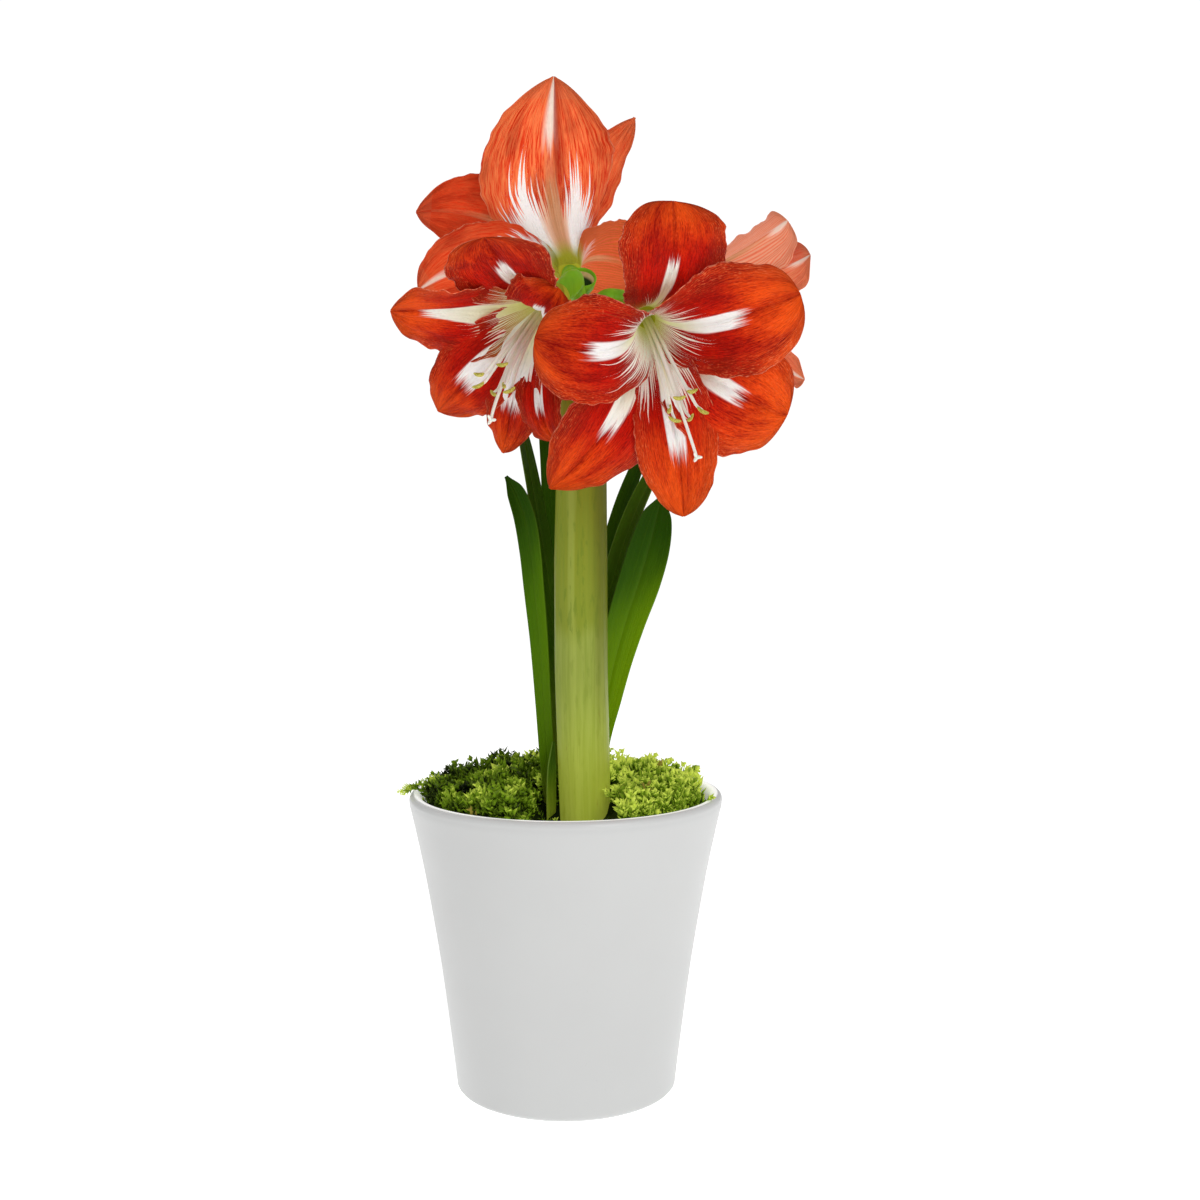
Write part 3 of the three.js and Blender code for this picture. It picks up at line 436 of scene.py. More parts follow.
class Board:
    """The nodes of one material, or of one world."""

    def __init__(self, name, kind="materials", **constants):
        self.owner = getattr(bpy.data, kind).new(name)
        self.owner.use_nodes = True
        self.tree = self.owner.node_tree
        self.shader = next(node for node in self.tree.nodes if node.type in ("BSDF_PRINCIPLED", "BACKGROUND"))
        for socket, value in constants.items():
            self.shader.inputs[socket.replace("_", " ")].default_value = value

    def node(self, kind, settings=None, inputs=()):
        """Adds a node of a kind, sets its settings, then gives its sockets their values or links."""
        node = self.tree.nodes.new("ShaderNode" + kind)
        for name, value in (settings or {}).items():
            setattr(node, name, value)
        pairs = inputs.items() if isinstance(inputs, dict) else enumerate(inputs)
        for key, value in pairs:
            socket = getattr(value, "socket", value)
            if isinstance(socket, bpy.types.NodeSocket):
                self.tree.links.new(socket, node.inputs[key])
            else:
                node.inputs[key].default_value = socket
        return node

    def maths(self, operation, *inputs):
        return Value(self, self.node("Math", {"operation": operation}, inputs).outputs[0])

    def named(self, *names):
        """The values that the mesh carries under these names."""
        return [Value(self, self.node("Attribute", {"attribute_name": name}).outputs["Fac"]) for name in names]

    def parts(self, vector):
        return [Value(self, socket) for socket in self.node("SeparateXYZ", None, (vector,)).outputs]

    def uv(self):
        return self.parts(self.node("UVMap", {"uv_map": "UVMap"}).outputs[0])[:2]

    def place(self, height=1.0):
        """Object coordinates, with the height scaled."""
        spot = self.node("TexCoord").outputs["Object"]
        return self.node("Mapping", None, {"Vector": spot, "Scale": (1, 1, height)}).outputs[0]

    def noise(self, vector, scale=1.0, detail=2.0, roughness=0.5):
        """Cloudy noise from 0 to 1, at a vector or at three values that make one."""
        if isinstance(vector, tuple):
            vector = self.node("CombineXYZ", None, vector).outputs[0]
        inputs = {"Vector": vector, "Scale": scale, "Detail": detail, "Roughness": roughness}
        return Value(self, self.node("TexNoise", None, inputs).outputs["Fac"])

    def chance(self, value):
        """A number from 0 to 1 for each different value."""
        return Value(self, self.node("TexWhiteNoise", {"noise_dimensions": "1D"}, {"W": value}).outputs["Value"])

    def step(self, value, low, high):
        """0 below low, 1 above high, and a soft step between."""
        inputs = {"Value": value, "From Min": low, "From Max": high, "To Min": 0.0, "To Max": 1.0}
        return Value(self, self.node("MapRange", {"interpolation_type": "SMOOTHSTEP"}, inputs).outputs[0])

    def fall(self, value, low, high):
        """1 below low, 0 above high, and a soft step between."""
        return 1.0 - self.step(value, low, high)

    def mix(self, share, first, second):
        """The first colour where share is 0 and the second where it is 1."""
        ends = [tuple(end) + (1.0,) if not isinstance(end, bpy.types.NodeSocket) else end for end in (first, second)]
        inputs = {0: share, 6: ends[0], 7: ends[1]}
        return self.node("Mix", {"data_type": "RGBA", "clamp_factor": True}, inputs).outputs[2]

    def layers(self, shade, *coats):
        """A colour with coats over it; each coat is a share from 0 to 1 and a colour."""
        for share, coat in coats:
            shade = self.mix(share, shade, coat)
        return shade

    def finish(self, shade, roughness=None, relief=None, height=0.0002, painted_glow=None):
        """The finished material, once what varies over the surface is joined to its shader.

        That is the colour, the roughness, the relief, as a bump of a height in metres, and how much of the colour
        glows: a painted glow, painted light that lightens shade, since no part is a lamp.
        """
        self.tree.links.new(shade, self.shader.inputs["Base Color"])
        if roughness is not None:
            self.tree.links.new(roughness.socket, self.shader.inputs["Roughness"])
        if relief is not None:
            bump = self.node("Bump", None, {"Height": relief, "Distance": height, "Strength": 1.0})
            self.tree.links.new(bump.outputs[0], self.shader.inputs["Normal"])
        if painted_glow is not None:
            self.tree.links.new(self.mix(painted_glow, BLACK, shade), self.shader.inputs["Emission Color"])
        return self.owner


def chosen(context):
    return context.scene.amaryllis_sizes, context.scene.amaryllis_colours


# ------------------------------------------------------------------ pot, soil and bulb


def pot_profile():
    """Outside spline from foot to lip, a round lip, then the inside one wall thickness further in."""
    side = eased(POT_OUTSIDE[3:], np.linspace(0, 1, 60))
    foot = np.array([(0, 0), (POT_FLAT, 0)] + POT_OUTSIDE[:3], float)
    lip_radius = POT_WALL / 2
    turn = np.linspace(0, math.pi, 17)[:, None]
    middle = np.array([POT_LIP_RADIUS - lip_radius, POT_HEIGHT - lip_radius])
    lip = middle + lip_radius * np.hstack([np.cos(turn), np.sin(turn)])
    inside = side[::-1] - np.array([POT_WALL, 0])
    inside = inside[(inside[:, 1] > POT_FLOOR + 3) & (inside[:, 1] < POT_HEIGHT - 8)]
    wall = inside[-1, 0]
    floor = np.array([(wall - 0.8, POT_FLOOR + 1), (wall - 3, POT_FLOOR), (POT_FLAT, POT_FLOOR), (0, POT_FLOOR)])
    return np.vstack([foot, side, lip, inside, floor])


def glaze_material(colours):
    """Satin white glaze: faint clouds and small pinholes; inside the lip it is painted whiter and glows, as painted
    light.
    """
    board = Board("glaze", Roughness=0.36, IOR=1.5, Coat_Weight=0.15, Coat_Roughness=0.3, Emission_Strength=0.5)
    spot = board.place()
    cloud = board.noise(spot, 14.0, 3.0)
    grain = board.noise(spot, 900.0)
    pinholes = board.step(board.noise(spot, 420.0, 1.0), 0.74, 0.8)
    x, y, height = board.parts(spot)
    # the painted light inside the pot, whiter colour and glow, ends between the wall's two faces, which lean outward
    # as they rise
    across_wall = (x * x + y * y) ** 0.5 - (height - 0.131) * 0.22
    painted_light_inside = board.fall(across_wall, 0.0722, 0.0733) * board.step(height, 0.1, 0.14)
    # painted light: the top of the lip glows
    lip = board.step(height, 0.147, 0.151)
    base = colours.glaze
    shade = board.layers(base, (board.step(cloud, 0.3, 0.7) * 0.5, darker(base, 0.95)), (painted_light_inside, WHITE))
    relief = cloud * 2.0 + grain * 0.12 - pinholes * 0.4
    return board.finish(shade, cloud * 0.16 + 0.3, relief, 0.00012, lip * 0.3 + painted_light_inside * 0.5)


def soil_material(colours):
    """Dark crumbs with lighter flecks of fibre and bark."""
    board = Board("soil", Roughness=0.95)
    spot = board.place()
    crumbs = board.noise(spot, 260.0, 6.0, 0.65)
    flecks = board.step(board.noise(spot, 520.0), 0.62, 0.7)
    shade = board.layers(darker(colours.soil, 0.4), (board.step(crumbs, 0.35, 0.65), colours.soil),
                         (flecks * 0.5, srgb(120, 92, 62)))
    return board.finish(shade, None, crumbs, 0.002)


def bulb_material(colours):
    """Papery skins: fine lines from the plate to the neck, brown with paler torn patches."""
    board = Board("bulb_skin", Roughness=0.7)
    lines = board.noise(board.place(0.12), 420.0, 3.0)
    torn = board.step(board.noise(board.place(), 42.0, 4.0), 0.52, 0.6)
    shade = board.layers(darker(colours.bulb, 0.55), (lines, colours.bulb), (torn * 0.6, srgb(206, 170, 118)))
    return board.finish(shade, None, lines + torn * 0.5, 0.0006)


def dress(node, material):
    """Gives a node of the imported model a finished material."""
    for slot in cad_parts[node].material_slots:
        slot.material = material


# ------------------------------------------------------------------ leaves


def leaf_surface(leaf):
    """Blade round a centre line: v goes half the width to each side, eased towards the margin, and the margins
    bend back by the channel times v squared, so that the leaf is a shallow gutter with a narrow groove in it."""
    stations = np.asarray(leaf.stations, float)
    turn = math.radians(leaf.turn)
    direction = np.array([math.cos(turn), math.sin(turn), 0])

    def surface(u, v):
        along = unit(through(stations[:, :3], u + 1e-4) - through(stations[:, :3], u - 1e-4))
        side = unit(direction - along * (along @ direction)[:, None])
        out = np.cross(along, side)
        half = eased(stations[:, 3], u)[:, None, None]
        v = v[None, :, None]
        groove = 0.05 * np.exp(-((v / 0.1) ** 2))
        return (through(stations[:, :3], u)[:, None] + side[:, None] * half * v * (1 - 0.12 * v * v)
                - out[:, None] * half * (leaf.channel * v * v - groove))

    return surface


def leaf_material(colours):
    """Satin green with fine lengthwise veins, a paler midrib and margins, yellow-green towards the foot."""
    board = Board("leaf", Roughness=0.4, IOR=1.45, Specular_IOR_Level=0.06, Subsurface_Weight=0.05,
                  Subsurface_Scale=0.002, Subsurface_Radius=(0.4, 1.0, 0.1))
    across, along = board.uv()
    seed, pale, gold = board.named("seed", "pale", "gold")
    a = abs(across * 2.0 - 1.0)
    veins = board.noise((across * 34.0, along * 1.6, seed * 7.0))
    fine = board.noise((across * 110.0, along * 9.0, seed * 3.0))
    cloud = board.noise((across * 1.6, along * 4.0, seed * 5.0), detail=3.0)
    dark = board.step(along + cloud * 0.3 - 0.15, 0.3, 0.85) * 0.6 + 0.25
    low = board.fall(along - across * 0.25 + cloud * 0.2, 0.1, 0.72) * gold
    light_veins = board.step(veins, 0.55, 0.7) * (0.16 - gold * 0.1)
    rib_and_margin = board.fall(a, 0.02, 0.1) * 0.3 + board.step(a, 0.9, 0.99) * 0.55
    foot = board.fall(along, 0.0, pale * 0.75 + 0.1)
    shade = board.layers(
        colours.leaf_green, (dark, colours.leaf_dark), (pale * (0.35 + veins * 0.5), srgb(104, 140, 38)),
        (low, colours.leaf_gold), (light_veins, srgb(100, 140, 30)),
        (rib_and_margin * (0.1 + pale), srgb(140, 170, 72)), (foot * 0.7, srgb(178, 186, 66)))
    return board.finish(shade, fine * 0.2 + 0.24, veins * 0.7 + fine * 0.25, 0.0003)


# ------------------------------------------------------------------ blooms


def bloom_frame(bloom):
    """The directions forward, up and right that a bloom's own measures use, and the place of such a measure."""
    forward = unit(np.array(bloom.faces, float))
    up = unit(np.array([0, 0, 1.0]) - forward * forward[2])
    right = np.cross(up, forward)
    base = np.array(bloom.base, float)
    return forward, up, right, lambda ahead, above, aside: base + ahead * forward + above * up + aside * right


def petal_outline(u, point):
    """Width along a petal, 1 where it is widest: u to the power 0.85 times (1 - u^p)^q.

    p and q run from 4.2 and 0.42 for a blunt tip, point 0, to 2.2 and 0.92 for a sharp one, point 1.
    """
    p, q = 4.2 - 2 * point, 0.42 + 0.5 * point

    def width(u):
        return u**0.85 * (1 - np.minimum(u, 1) ** p) ** q

    return width(u) / width((0.85 / (0.85 + p * q)) ** (1 / p))


def petal_surface(bloom, petal, ruffle):
    """A petal round its midrib, a Bezier curve in the plane that holds the bloom's axis.

    Across, it bends round that axis as far as the midrib runs along it; each half swells beside the midrib's
    groove and has faint lengthwise folds. The margin carries long waves and small ruffles, both sines along the
    petal that grow with the distance from the midrib, and the outline is nicked by the sum of three more sines.
    """
    forward, up, right, place = bloom_frame(bloom)
    root, claw, ahead = (5.2, 0.12, 0) if petal.outer else (3.7, 0.11, 5)
    controls = [(0, root), (24 + ahead, 1.6 * root), (petal.crown[0] + ahead, petal.crown[1]),
                (petal.rise + ahead, petal.reach)]
    phase = petal.clock / 47

    def spread(u):
        angle = np.radians(petal.clock + petal.sweep * u * u)[:, None]
        return np.cos(angle) * up + np.sin(angle) * right, np.cos(angle) * right - np.sin(angle) * up

    def middle(u):
        rise, reach = bezier(controls, u).T
        return place(0, 0, 0) + rise[:, None] * forward + reach[:, None] * spread(u)[0]

    def surface(u, v):
        along = unit(middle(np.minimum(u + 1e-3, 1)) - middle(np.maximum(u - 1e-3, 0)))
        aside = spread(u)[1]
        flat = unit(aside - along * np.sum(aside * along, axis=1, keepdims=True))
        face = np.cross(flat, along)
        roll = (math.radians(petal.roll) * smooth(u, 0.15, 0.9))[:, None]
        side = flat * np.cos(roll) + face * np.sin(roll)
        inward = face * np.cos(roll) - flat * np.sin(roll)
        u2, v2, a = u[:, None], v[None, :], np.abs(v)[None, :]
        half = np.maximum(petal.half * (petal_outline(u, petal.point) + claw * (1 - u) ** 3), 0.8)[:, None]
        hand = np.sign(v2)
        nick = (0.07 * (0.5 + 0.5 * ripple(2.3 * u2 + phase + 0.31 * hand))
                + 0.02 * np.abs(ripple(7.1 * u2 - phase + 0.31 * hand)) + 0.008 * ripple(17.7 * u2) + 0.008)
        open_part = smooth(u2, 0.25, 0.5) * (1 - smooth(u2, 0.9, 1))
        width = half * (1 - open_part * a**3 * nick)
        wrap = np.maximum(half / bezier(controls, u)[:, 1:] * np.abs(along @ forward)[:, None], 1e-3)
        across = np.sin(wrap * v2) * width / wrap
        bend = (1 - np.cos(wrap * v2)) * half / wrap
        body = smooth(u2, 0.12, 0.5) * (1 - 0.6 * smooth(u2, 0.85, 1))
        swell = 0.1 * half * np.sin(math.pi * a**0.8) * body
        margin = a**2.2 * smooth(u2, 0.15, 0.45) * (1 - smooth(u2, 0.88, 1))
        wave = LONG_WAVE * ripple(2.2 * u2 + phase + 0.27 * hand) * margin
        small = np.sin(TURN * (7.3 * u2 + 2.3 * phase + 0.31 * hand) + 1.4 * np.sin(9 * u2 + phase))
        wave = wave + ruffle * small * a**4 * open_part
        folds = 0.22 * ripple(3.1 * v2 + 0.35 * u2 + phase) * body * (1 - a**4)
        groove = -0.55 * np.exp(-((v2 / 0.055) ** 2)) * smooth(u2, 0.15, 0.4) * (1 - smooth(u2, 0.8, 0.98))
        lift = bend + swell + wave + folds + groove
        return middle(u)[:, None] + side[:, None] * across[..., None] + inward[:, None] * lift[..., None]

    return surface


PETAL_LOOKS = Petal._fields[9:]   # what each petal tells its material, from streak to taper


def petal_material(colours):
    """Velvet red with a white star.

    Lines run from base to tip. Each is a narrow strip of the petal's width with a reach of its own: the white in it
    is as wide as the strip at the base and narrows to nothing at that reach, so that the star ends in white wedges
    between red veins; veined keeps the wedges narrower than their strips, so that red veins run down to the throat.
    A white stripe with a short frayed end follows the midrib, and taper lets it narrow and yellow. The throat is
    green, then cream. The back is orange-red or salmon, with a tan midrib that turns green below and white beside
    it. Painted light: the inner face is orange where it catches the light, the lines on the ridges near the margin
    are partly vein colour and partly painted highlight, and a painted glow lightens the shade of the whole petal,
    the throat most. Painted shade: deep red in the folds and along the midrib's groove, darker red in clouds on the
    back, a dark crease beside the midrib near the end of some backs, and brown on a back that stands in shade.
    """
    board = Board("petal", Roughness=0.52, IOR=1.4, Specular_IOR_Level=0.08, Subsurface_Weight=0.06,
                  Subsurface_Scale=0.002, Subsurface_Radius=(1.0, 0.25, 0.1), Emission_Strength=0.5)
    across, along = board.uv()
    inside, seed, lines = board.named("inside", "seed", "lines")
    streak_end, stripe, fan, veined, warm_and_lit, faded, tip, taper = board.named(*PETAL_LOOKS)
    s = across * 2.0 - 1.0
    a = abs(s)
    fine = board.noise((s * 34.0, along * 2.4, seed * 9.0))
    thin = board.noise((s * 60.0, along * 13.0, seed * 6.0), detail=3.0, roughness=0.6)
    sway = board.noise((s * 2.6, along * 2.2, seed * 5.0 + 3.0), detail=1.0)
    cloud = board.noise((s * 1.9, along * 3.4, seed * 3.0 + 7.0), detail=4.0, roughness=0.6)
    speck = board.noise((s * 52.0, along * 60.0, seed * 2.0))
    line = s * lines * 1.3 / (along * 1.6 + 0.35).at_most(1.3) + sway * 4.0 + seed * 5.0
    strip = line.floor()
    chance = board.chance(strip + seed * 31.0)
    off_middle = abs((line - strip) * 2.0 - 1.0) + (fine - 0.5) * 0.7

    # the velvet of the inner face: painted light makes it orange where it catches the light, painted shade makes it
    # deep red in its folds and along the midrib's groove, and the lines on the ridges near the margin are partly
    # painted highlight
    lit = board.step(cloud * 0.6 + (along - 0.66) * 1.6 + warm_and_lit * 0.5, 0.46, 1.04)
    groove = board.fall(a, 0.0, 0.1) * board.step(along, 0.5, 0.75)
    folds = board.fall(cloud + warm_and_lit * 0.25, 0.42, 0.66) * (0.6 - lit * 0.25)
    pits = (board.fall(thin, 0.38, 0.5) * 0.6 + board.fall(speck, 0.38, 0.5) * 0.4) * (1.0 - lit * 0.6)
    light_lines = board.step(thin, 0.56, 0.62) * (board.step(a, 0.3, 1.0) * 0.5 + 0.2) * (lit * 0.6 + 0.25)
    ridges = board.step((line * 2.0 * TURN).wave() + (fine - 0.5) * 2.0, 0.1, 0.9) * board.step(a, 0.45, 1.0)
    grains = board.step(speck, 0.58, 0.66) * (board.step(a, 0.5, 1.0) * 0.45 + lit * 0.1 + 0.03)
    red = board.layers(
        colours.petal_red, (lit, colours.petal_orange), (pits + groove * 0.35 + folds, colours.petal_deep),
        (light_lines, srgb(244, 96, 36)), (ridges * 0.4, srgb(246, 104, 56)), (grains, srgb(252, 138, 88)))

    # the star: a dark halo, the wedges of the fan, the stripe on the midrib, cream and the throat
    reach = fan + (chance - 0.5) * 0.24 - a * a * 0.1
    wedge = ((reach - along) * (7.0 - veined * 2.6)).at_most(1.6 - veined * 1.05)
    fan_white = board.step(wedge - off_middle, -0.05, 0.05)
    star = board.mix(board.step(fine, 0.3, 0.7) * 0.25, colours.petal_white, srgb(232, 224, 220))
    vein_star = board.mix(board.step(along - reach, -0.2, 0.0) * 0.5, star, srgb(244, 150, 120))
    frayed_end = streak_end + (fine - 0.5) * 0.16 + (thin - 0.5) * 0.1 - along
    narrowed = board.step(along, streak_end - 0.4, streak_end + 0.02) * taper * 0.7
    width = stripe * (0.55 + board.step(along, 0.3, 0.62) * 0.5) * (1.0 - narrowed) + (fine - 0.5) * 0.05
    middle_white = board.step(width - a, -0.015, 0.03) * board.step(frayed_end, -0.03, 0.05)
    white = fan_white.at_least(middle_white)
    creamy = board.fall(along, 0.26, 0.64 + taper * 0.4) * (middle_white * 0.5 + 0.4) * white
    front = board.layers(
        red, (board.fall(along, fan - 0.3, fan + 0.1) * 0.7, srgb(150, 14, 20)), (fan_white, vein_star),
        (middle_white, star), (creamy, colours.cream),
        (board.fall(along, 0.08, 0.34 + taper * 0.3) * 0.9, colours.throat))

    # the back, from its ground to the green at its foot
    lighter = board.mix(warm_and_lit * 1.7, srgb(224, 78, 38), srgb(255, 130, 76))
    # salmon for the back, brown where the petal gets little painted light: painted shade on a back that stands in
    # shade
    salmon_and_shade_brown = board.layers(srgb(196, 104, 50), (warm_and_lit * 2.5, colours.petal_salmon),
                          (board.step(off_middle, 0.3, 0.9) * 0.8, srgb(226, 104, 70)))
    back_reach = fan + (chance - 0.5) * 0.22 - abs(a - 0.34) * 0.6
    back_white = board.step((back_reach - along) * 7.0 - off_middle, -0.14, 0.14) * (1.0 - faded * 0.8)
    beside_rib = board.mix(board.step(a + (fine - 0.5) * 0.1, 0.12, 0.24), srgb(232, 186, 156), colours.petal_white)
    rib = board.fall(a, 0.05, 0.2 - along * 0.16) * (1.0 - board.step(along, 0.5, 0.85) * 0.85)
    rib_tan = board.mix(fine, srgb(164, 98, 36), srgb(230, 170, 130))
    tip_pale = board.fall(a, 0.02, 0.16) * board.step(along + fine * 0.2 + tip * 0.14, 1.0, 1.1) * tip
    # painted shade: a dark crease beside the midrib, towards the end of a back whose tip is pale
    crease_shade = board.step(-s, 0.02, 0.08) * board.fall(-s, 0.1, 0.3) * board.step(along, 0.45, 0.75)
    back = board.layers(
        srgb(224, 56, 20), (board.step(thin + along * 0.1, 0.42, 0.68), lighter),
        # painted shade: deep red in clouds on the back
        (board.fall(cloud, 0.36, 0.56) * 0.45, colours.petal_deep), (faded, salmon_and_shade_brown), (back_white, beside_rib),
        (rib * 0.85, rib_tan), (tip_pale, srgb(246, 226, 210)),
        (crease_shade * board.step(tip, 0.85, 0.95) * 0.7, colours.petal_deep),
        (board.fall(along, 0.08, 0.3), srgb(164, 164, 40)))

    edge = board.step(a, 0.96, 1.0) * board.step(along, 0.3, 0.5) * board.step(speck, 0.4, 0.58)
    shade = board.layers(back, (inside, front), (edge * 0.5, srgb(246, 168, 136)))
    # painted light: a glow that lightens the shade, most in the throat of the inner face, and more on a faded back
    painted_glow = board.fall(along, 0.15, 0.55) * inside * 0.6 + (1.0 - inside) * (faded * 0.25 + 0.22) + 0.21
    relief = fine * 0.4 - off_middle * 0.06 + ridges * 0.5 + speck * 0.4 + thin * 0.65 + cloud * 2.4
    return board.finish(shade, speck * 0.22 + 0.4, relief, 0.0014, painted_glow)


# ------------------------------------------------------------------ stamens


def thread_curve(bloom, clock, ring, reach, spread, bend):
    """A filament keeps to the bloom's axis at first, then sinks by its droop and leans aside by its drift."""
    place = bloom_frame(bloom)[3]
    up, side = math.cos(clock), math.sin(clock)
    droop, drift = bend * bloom.droop, bend * bloom.drift
    return [place(STAMEN_FOOT + 1, ring * up, ring * side), place(0.48 * reach, 1.4 * up, 1.4 * side),
            place(0.9 * reach, spread * up - 0.7 * droop, spread * side + 0.7 * drift),
            place(reach, 1.5 * spread * up - droop, 1.6 * spread * side + drift)]


def stamen_material(colours):
    """White filaments, yellow-green at the foot; anthers rough with pollen; a white stigma."""
    board = Board("stamen", Roughness=0.45, Subsurface_Weight=0.15, Subsurface_Scale=0.0015)
    kind, along = board.named("kind", "along")
    spot = board.place()
    grain, cloud = board.noise(spot, 1800.0), board.noise(spot, 160.0)
    anther = board.step(kind, 0.4, 0.6)
    pollen = board.mix(board.step(grain, 0.4, 0.62), colours.anther, srgb(206, 196, 92))
    shade = board.layers(colours.filament, (board.fall(along, 0.1, 0.6) * 0.7, srgb(196, 196, 96)),
                         (board.step(cloud, 0.5, 0.75) * 0.2, srgb(226, 198, 176)), (anther, pollen))
    return board.finish(shade, anther * 0.4 + 0.4, grain, 0.00015)


# ------------------------------------------------------------------ flower stem


# what the value called kind says of a point of the stem
STALK, PAPERY, RING_INSIDE = 1.0, 2.0, 3.0


def stem_material(colours):
    """Pale green with a waxy bloom: fine upright streaks and small brown scratches. Painted shadow: darker olive
    high up, under the blooms, and olive on the right side.

    The stalks and the ring are leaf green, the bracts papery brown, and the ring's inside is painted dark as shade.
    A painted glow lightens the shade of the whole stem, its foot and the stalks most.
    """
    board = Board("stem", Roughness=0.42, IOR=1.45, Specular_IOR_Level=0.2, Subsurface_Weight=0.1,
                  Subsurface_Scale=0.003, Subsurface_Radius=(0.6, 1.0, 0.2), Emission_Strength=0.5)
    kind, along = board.named("kind", "along")
    spot = board.place()
    x, y, z = board.parts(spot)
    streaks = board.noise(board.place(0.035), 620.0)
    wide = board.noise(board.place(0.05), 120.0)
    cloud = board.noise(spot, 22.0, 3.0)
    marks = board.noise(board.place(0.22), 420.0, 3.0)
    waxy = board.fall(z + (wide - 0.5) * 0.02, 0.228, 0.24)
    # painted shadow: high darkens the top of the stem to olive, under the blooms, and right paints the right side
    # olive as shade
    high = board.step(z + cloud * 0.08, 0.2, 0.34)
    right = board.step(x + (wide - 0.5) * 0.012, 0.009, 0.018)
    scratched = board.step(board.noise(spot, 38.0, 1.0), 0.52, 0.62) * waxy
    stalk = board.mix(board.step(wide, 0.4, 0.65) * 0.5, srgb(112, 164, 22), srgb(70, 118, 8))
    stalks = board.step(kind, 0.4, 0.6)
    paper = board.mix(streaks, srgb(168, 132, 84), srgb(214, 186, 132))
    # the foot: a lighter yellow-green coat, and the strongest painted glow, which lightens it where the moss shades
    # it
    foot = board.fall(along, 0.05, 0.34)
    shade = board.layers(
        colours.stem, (high * 0.7, srgb(120, 126, 20)), (waxy * 0.5, srgb(160, 172, 84)),
        (board.step(streaks, 0.4, 0.62) * 0.4, srgb(118, 136, 34)),
        (board.step(wide, 0.5, 0.62) * 0.35, srgb(168, 178, 84)),
        (board.step(marks, 0.56, 0.64) * (0.45 - waxy * 0.25), srgb(98, 120, 24)),
        (right * (high * 0.55 + 0.2), colours.stem_olive),
        (board.step(marks, 0.62, 0.68) * scratched * 0.6, srgb(124, 98, 44)),
        # painted shade: the ring's inside is dark green
        (stalks, stalk), (board.step(kind, 1.4, 1.6), paper), (board.step(kind, 2.1, 3.0), srgb(24, 48, 2)),
        (foot * 0.4, srgb(172, 180, 44)))
    relief = streaks * 0.6 + wide * 0.6 + marks * 0.2
    # painted light: a glow over the whole stem, most at the foot and on the stalks
    return board.finish(shade, cloud * 0.2 + 0.32, relief, 0.0004, foot * 0.7 + stalks * 0.3 + 0.1)


# ------------------------------------------------------------------ moss

MOSS_BASE = 135.05                # underside of the moss, on the soil
MOSS_REACH = 71.5                 # how far from the pot's axis the shoots stand
STEM_CLEARING = (9.8, -15, 14.5)  # middle and radius of the ring round the stem where no shoot stands
HOLLOW = (5.5, 21.5, -10)         # in front of the stem: middle and half of its width, and its back edge
BANK = 140.5                      # above this height the hollow's ground is almost bare
BESIDE_LEAF = (-23, 12, 2)        # left of the young leaf, given like the hollow: the shoots lean away from it
WITHERED = (27, -34, 7)           # middle and spread of the patch with the most withered shoots
BROWN = 1.2                       # tone of a withered shoot
SPRIG = [(-52, -3, 152), (-62, -4, 156), (-70, -5, 156.6), (-76, -6, 155.2), (-81, -7.6, 152.4)]
SPRIG_SHOOTS = 34


def within(zone, x, y):
    """Whether points lie within half the zone's width of its middle, and in front of its back edge."""
    middle, half, back = zone
    return (np.abs(x - middle) < half) & (y < back)


def moss_height(x, y):
    """A dome that falls to the pot's edge, less a hollow in front of the stem and one at the young leaf; lumps of
    sines and cosines lie on it, lower in the hollow."""
    in_front = np.exp(-(((x - 5) / 20) ** 4)) * smooth(-y, 4, 30)
    at_leaf = np.exp(-(((x + 10) / 8) ** 2)) * smooth(-y, -12, 12)
    lumps = (1.5 * np.sin(0.31 * x + 1.1) * np.cos(0.27 * y + 0.4) + 1.3 * np.sin(0.63 * x - 0.35 * y)
             + 1.1 * np.cos(0.48 * x + 0.71 * y + 2))
    dome = (9.5 - 2 * smooth(-x, 0, 30)) * smooth(72.2 - np.hypot(x, y), 0, 34)
    height = 147 + dome - 20 * in_front - 9 * at_leaf
    return np.maximum(height + lumps * (1 - 0.6 * in_front), MOSS_BASE + 2.5)


def moss_material(colours):
    """Green from dark at a shoot's foot to yellow-green at its tip, each shoot of its own tone, some brown; the
    shoots on the left are darker as painted shade, and a painted glow lightens the lighter parts.
    """
    board = Board("moss", Roughness=0.75, Specular_IOR_Level=0.15, Emission_Strength=0.5)
    tip, tone = board.named("tip", "tone")
    spot = board.place()
    cloud, grain = board.noise(spot, 60.0, 3.0), board.noise(spot, 1400.0)
    light = tip * (tone * 0.8 + 0.4) + (cloud - 0.46) * 1.6 + (grain - 0.5) * 0.3
    shade = board.layers(
        colours.moss_dark, (board.step(light, 0.05, 0.55), colours.moss_green),
        (board.step(light, 0.5, 1.0), colours.moss_bright), (board.step(tone, 1.05, 1.1) * 0.8, srgb(122, 92, 42)))
    # painted light: the lighter parts of the moss glow
    return board.finish(shade, None, grain, 0.0003, board.step(light, 0.3, 1.0) * 0.8)


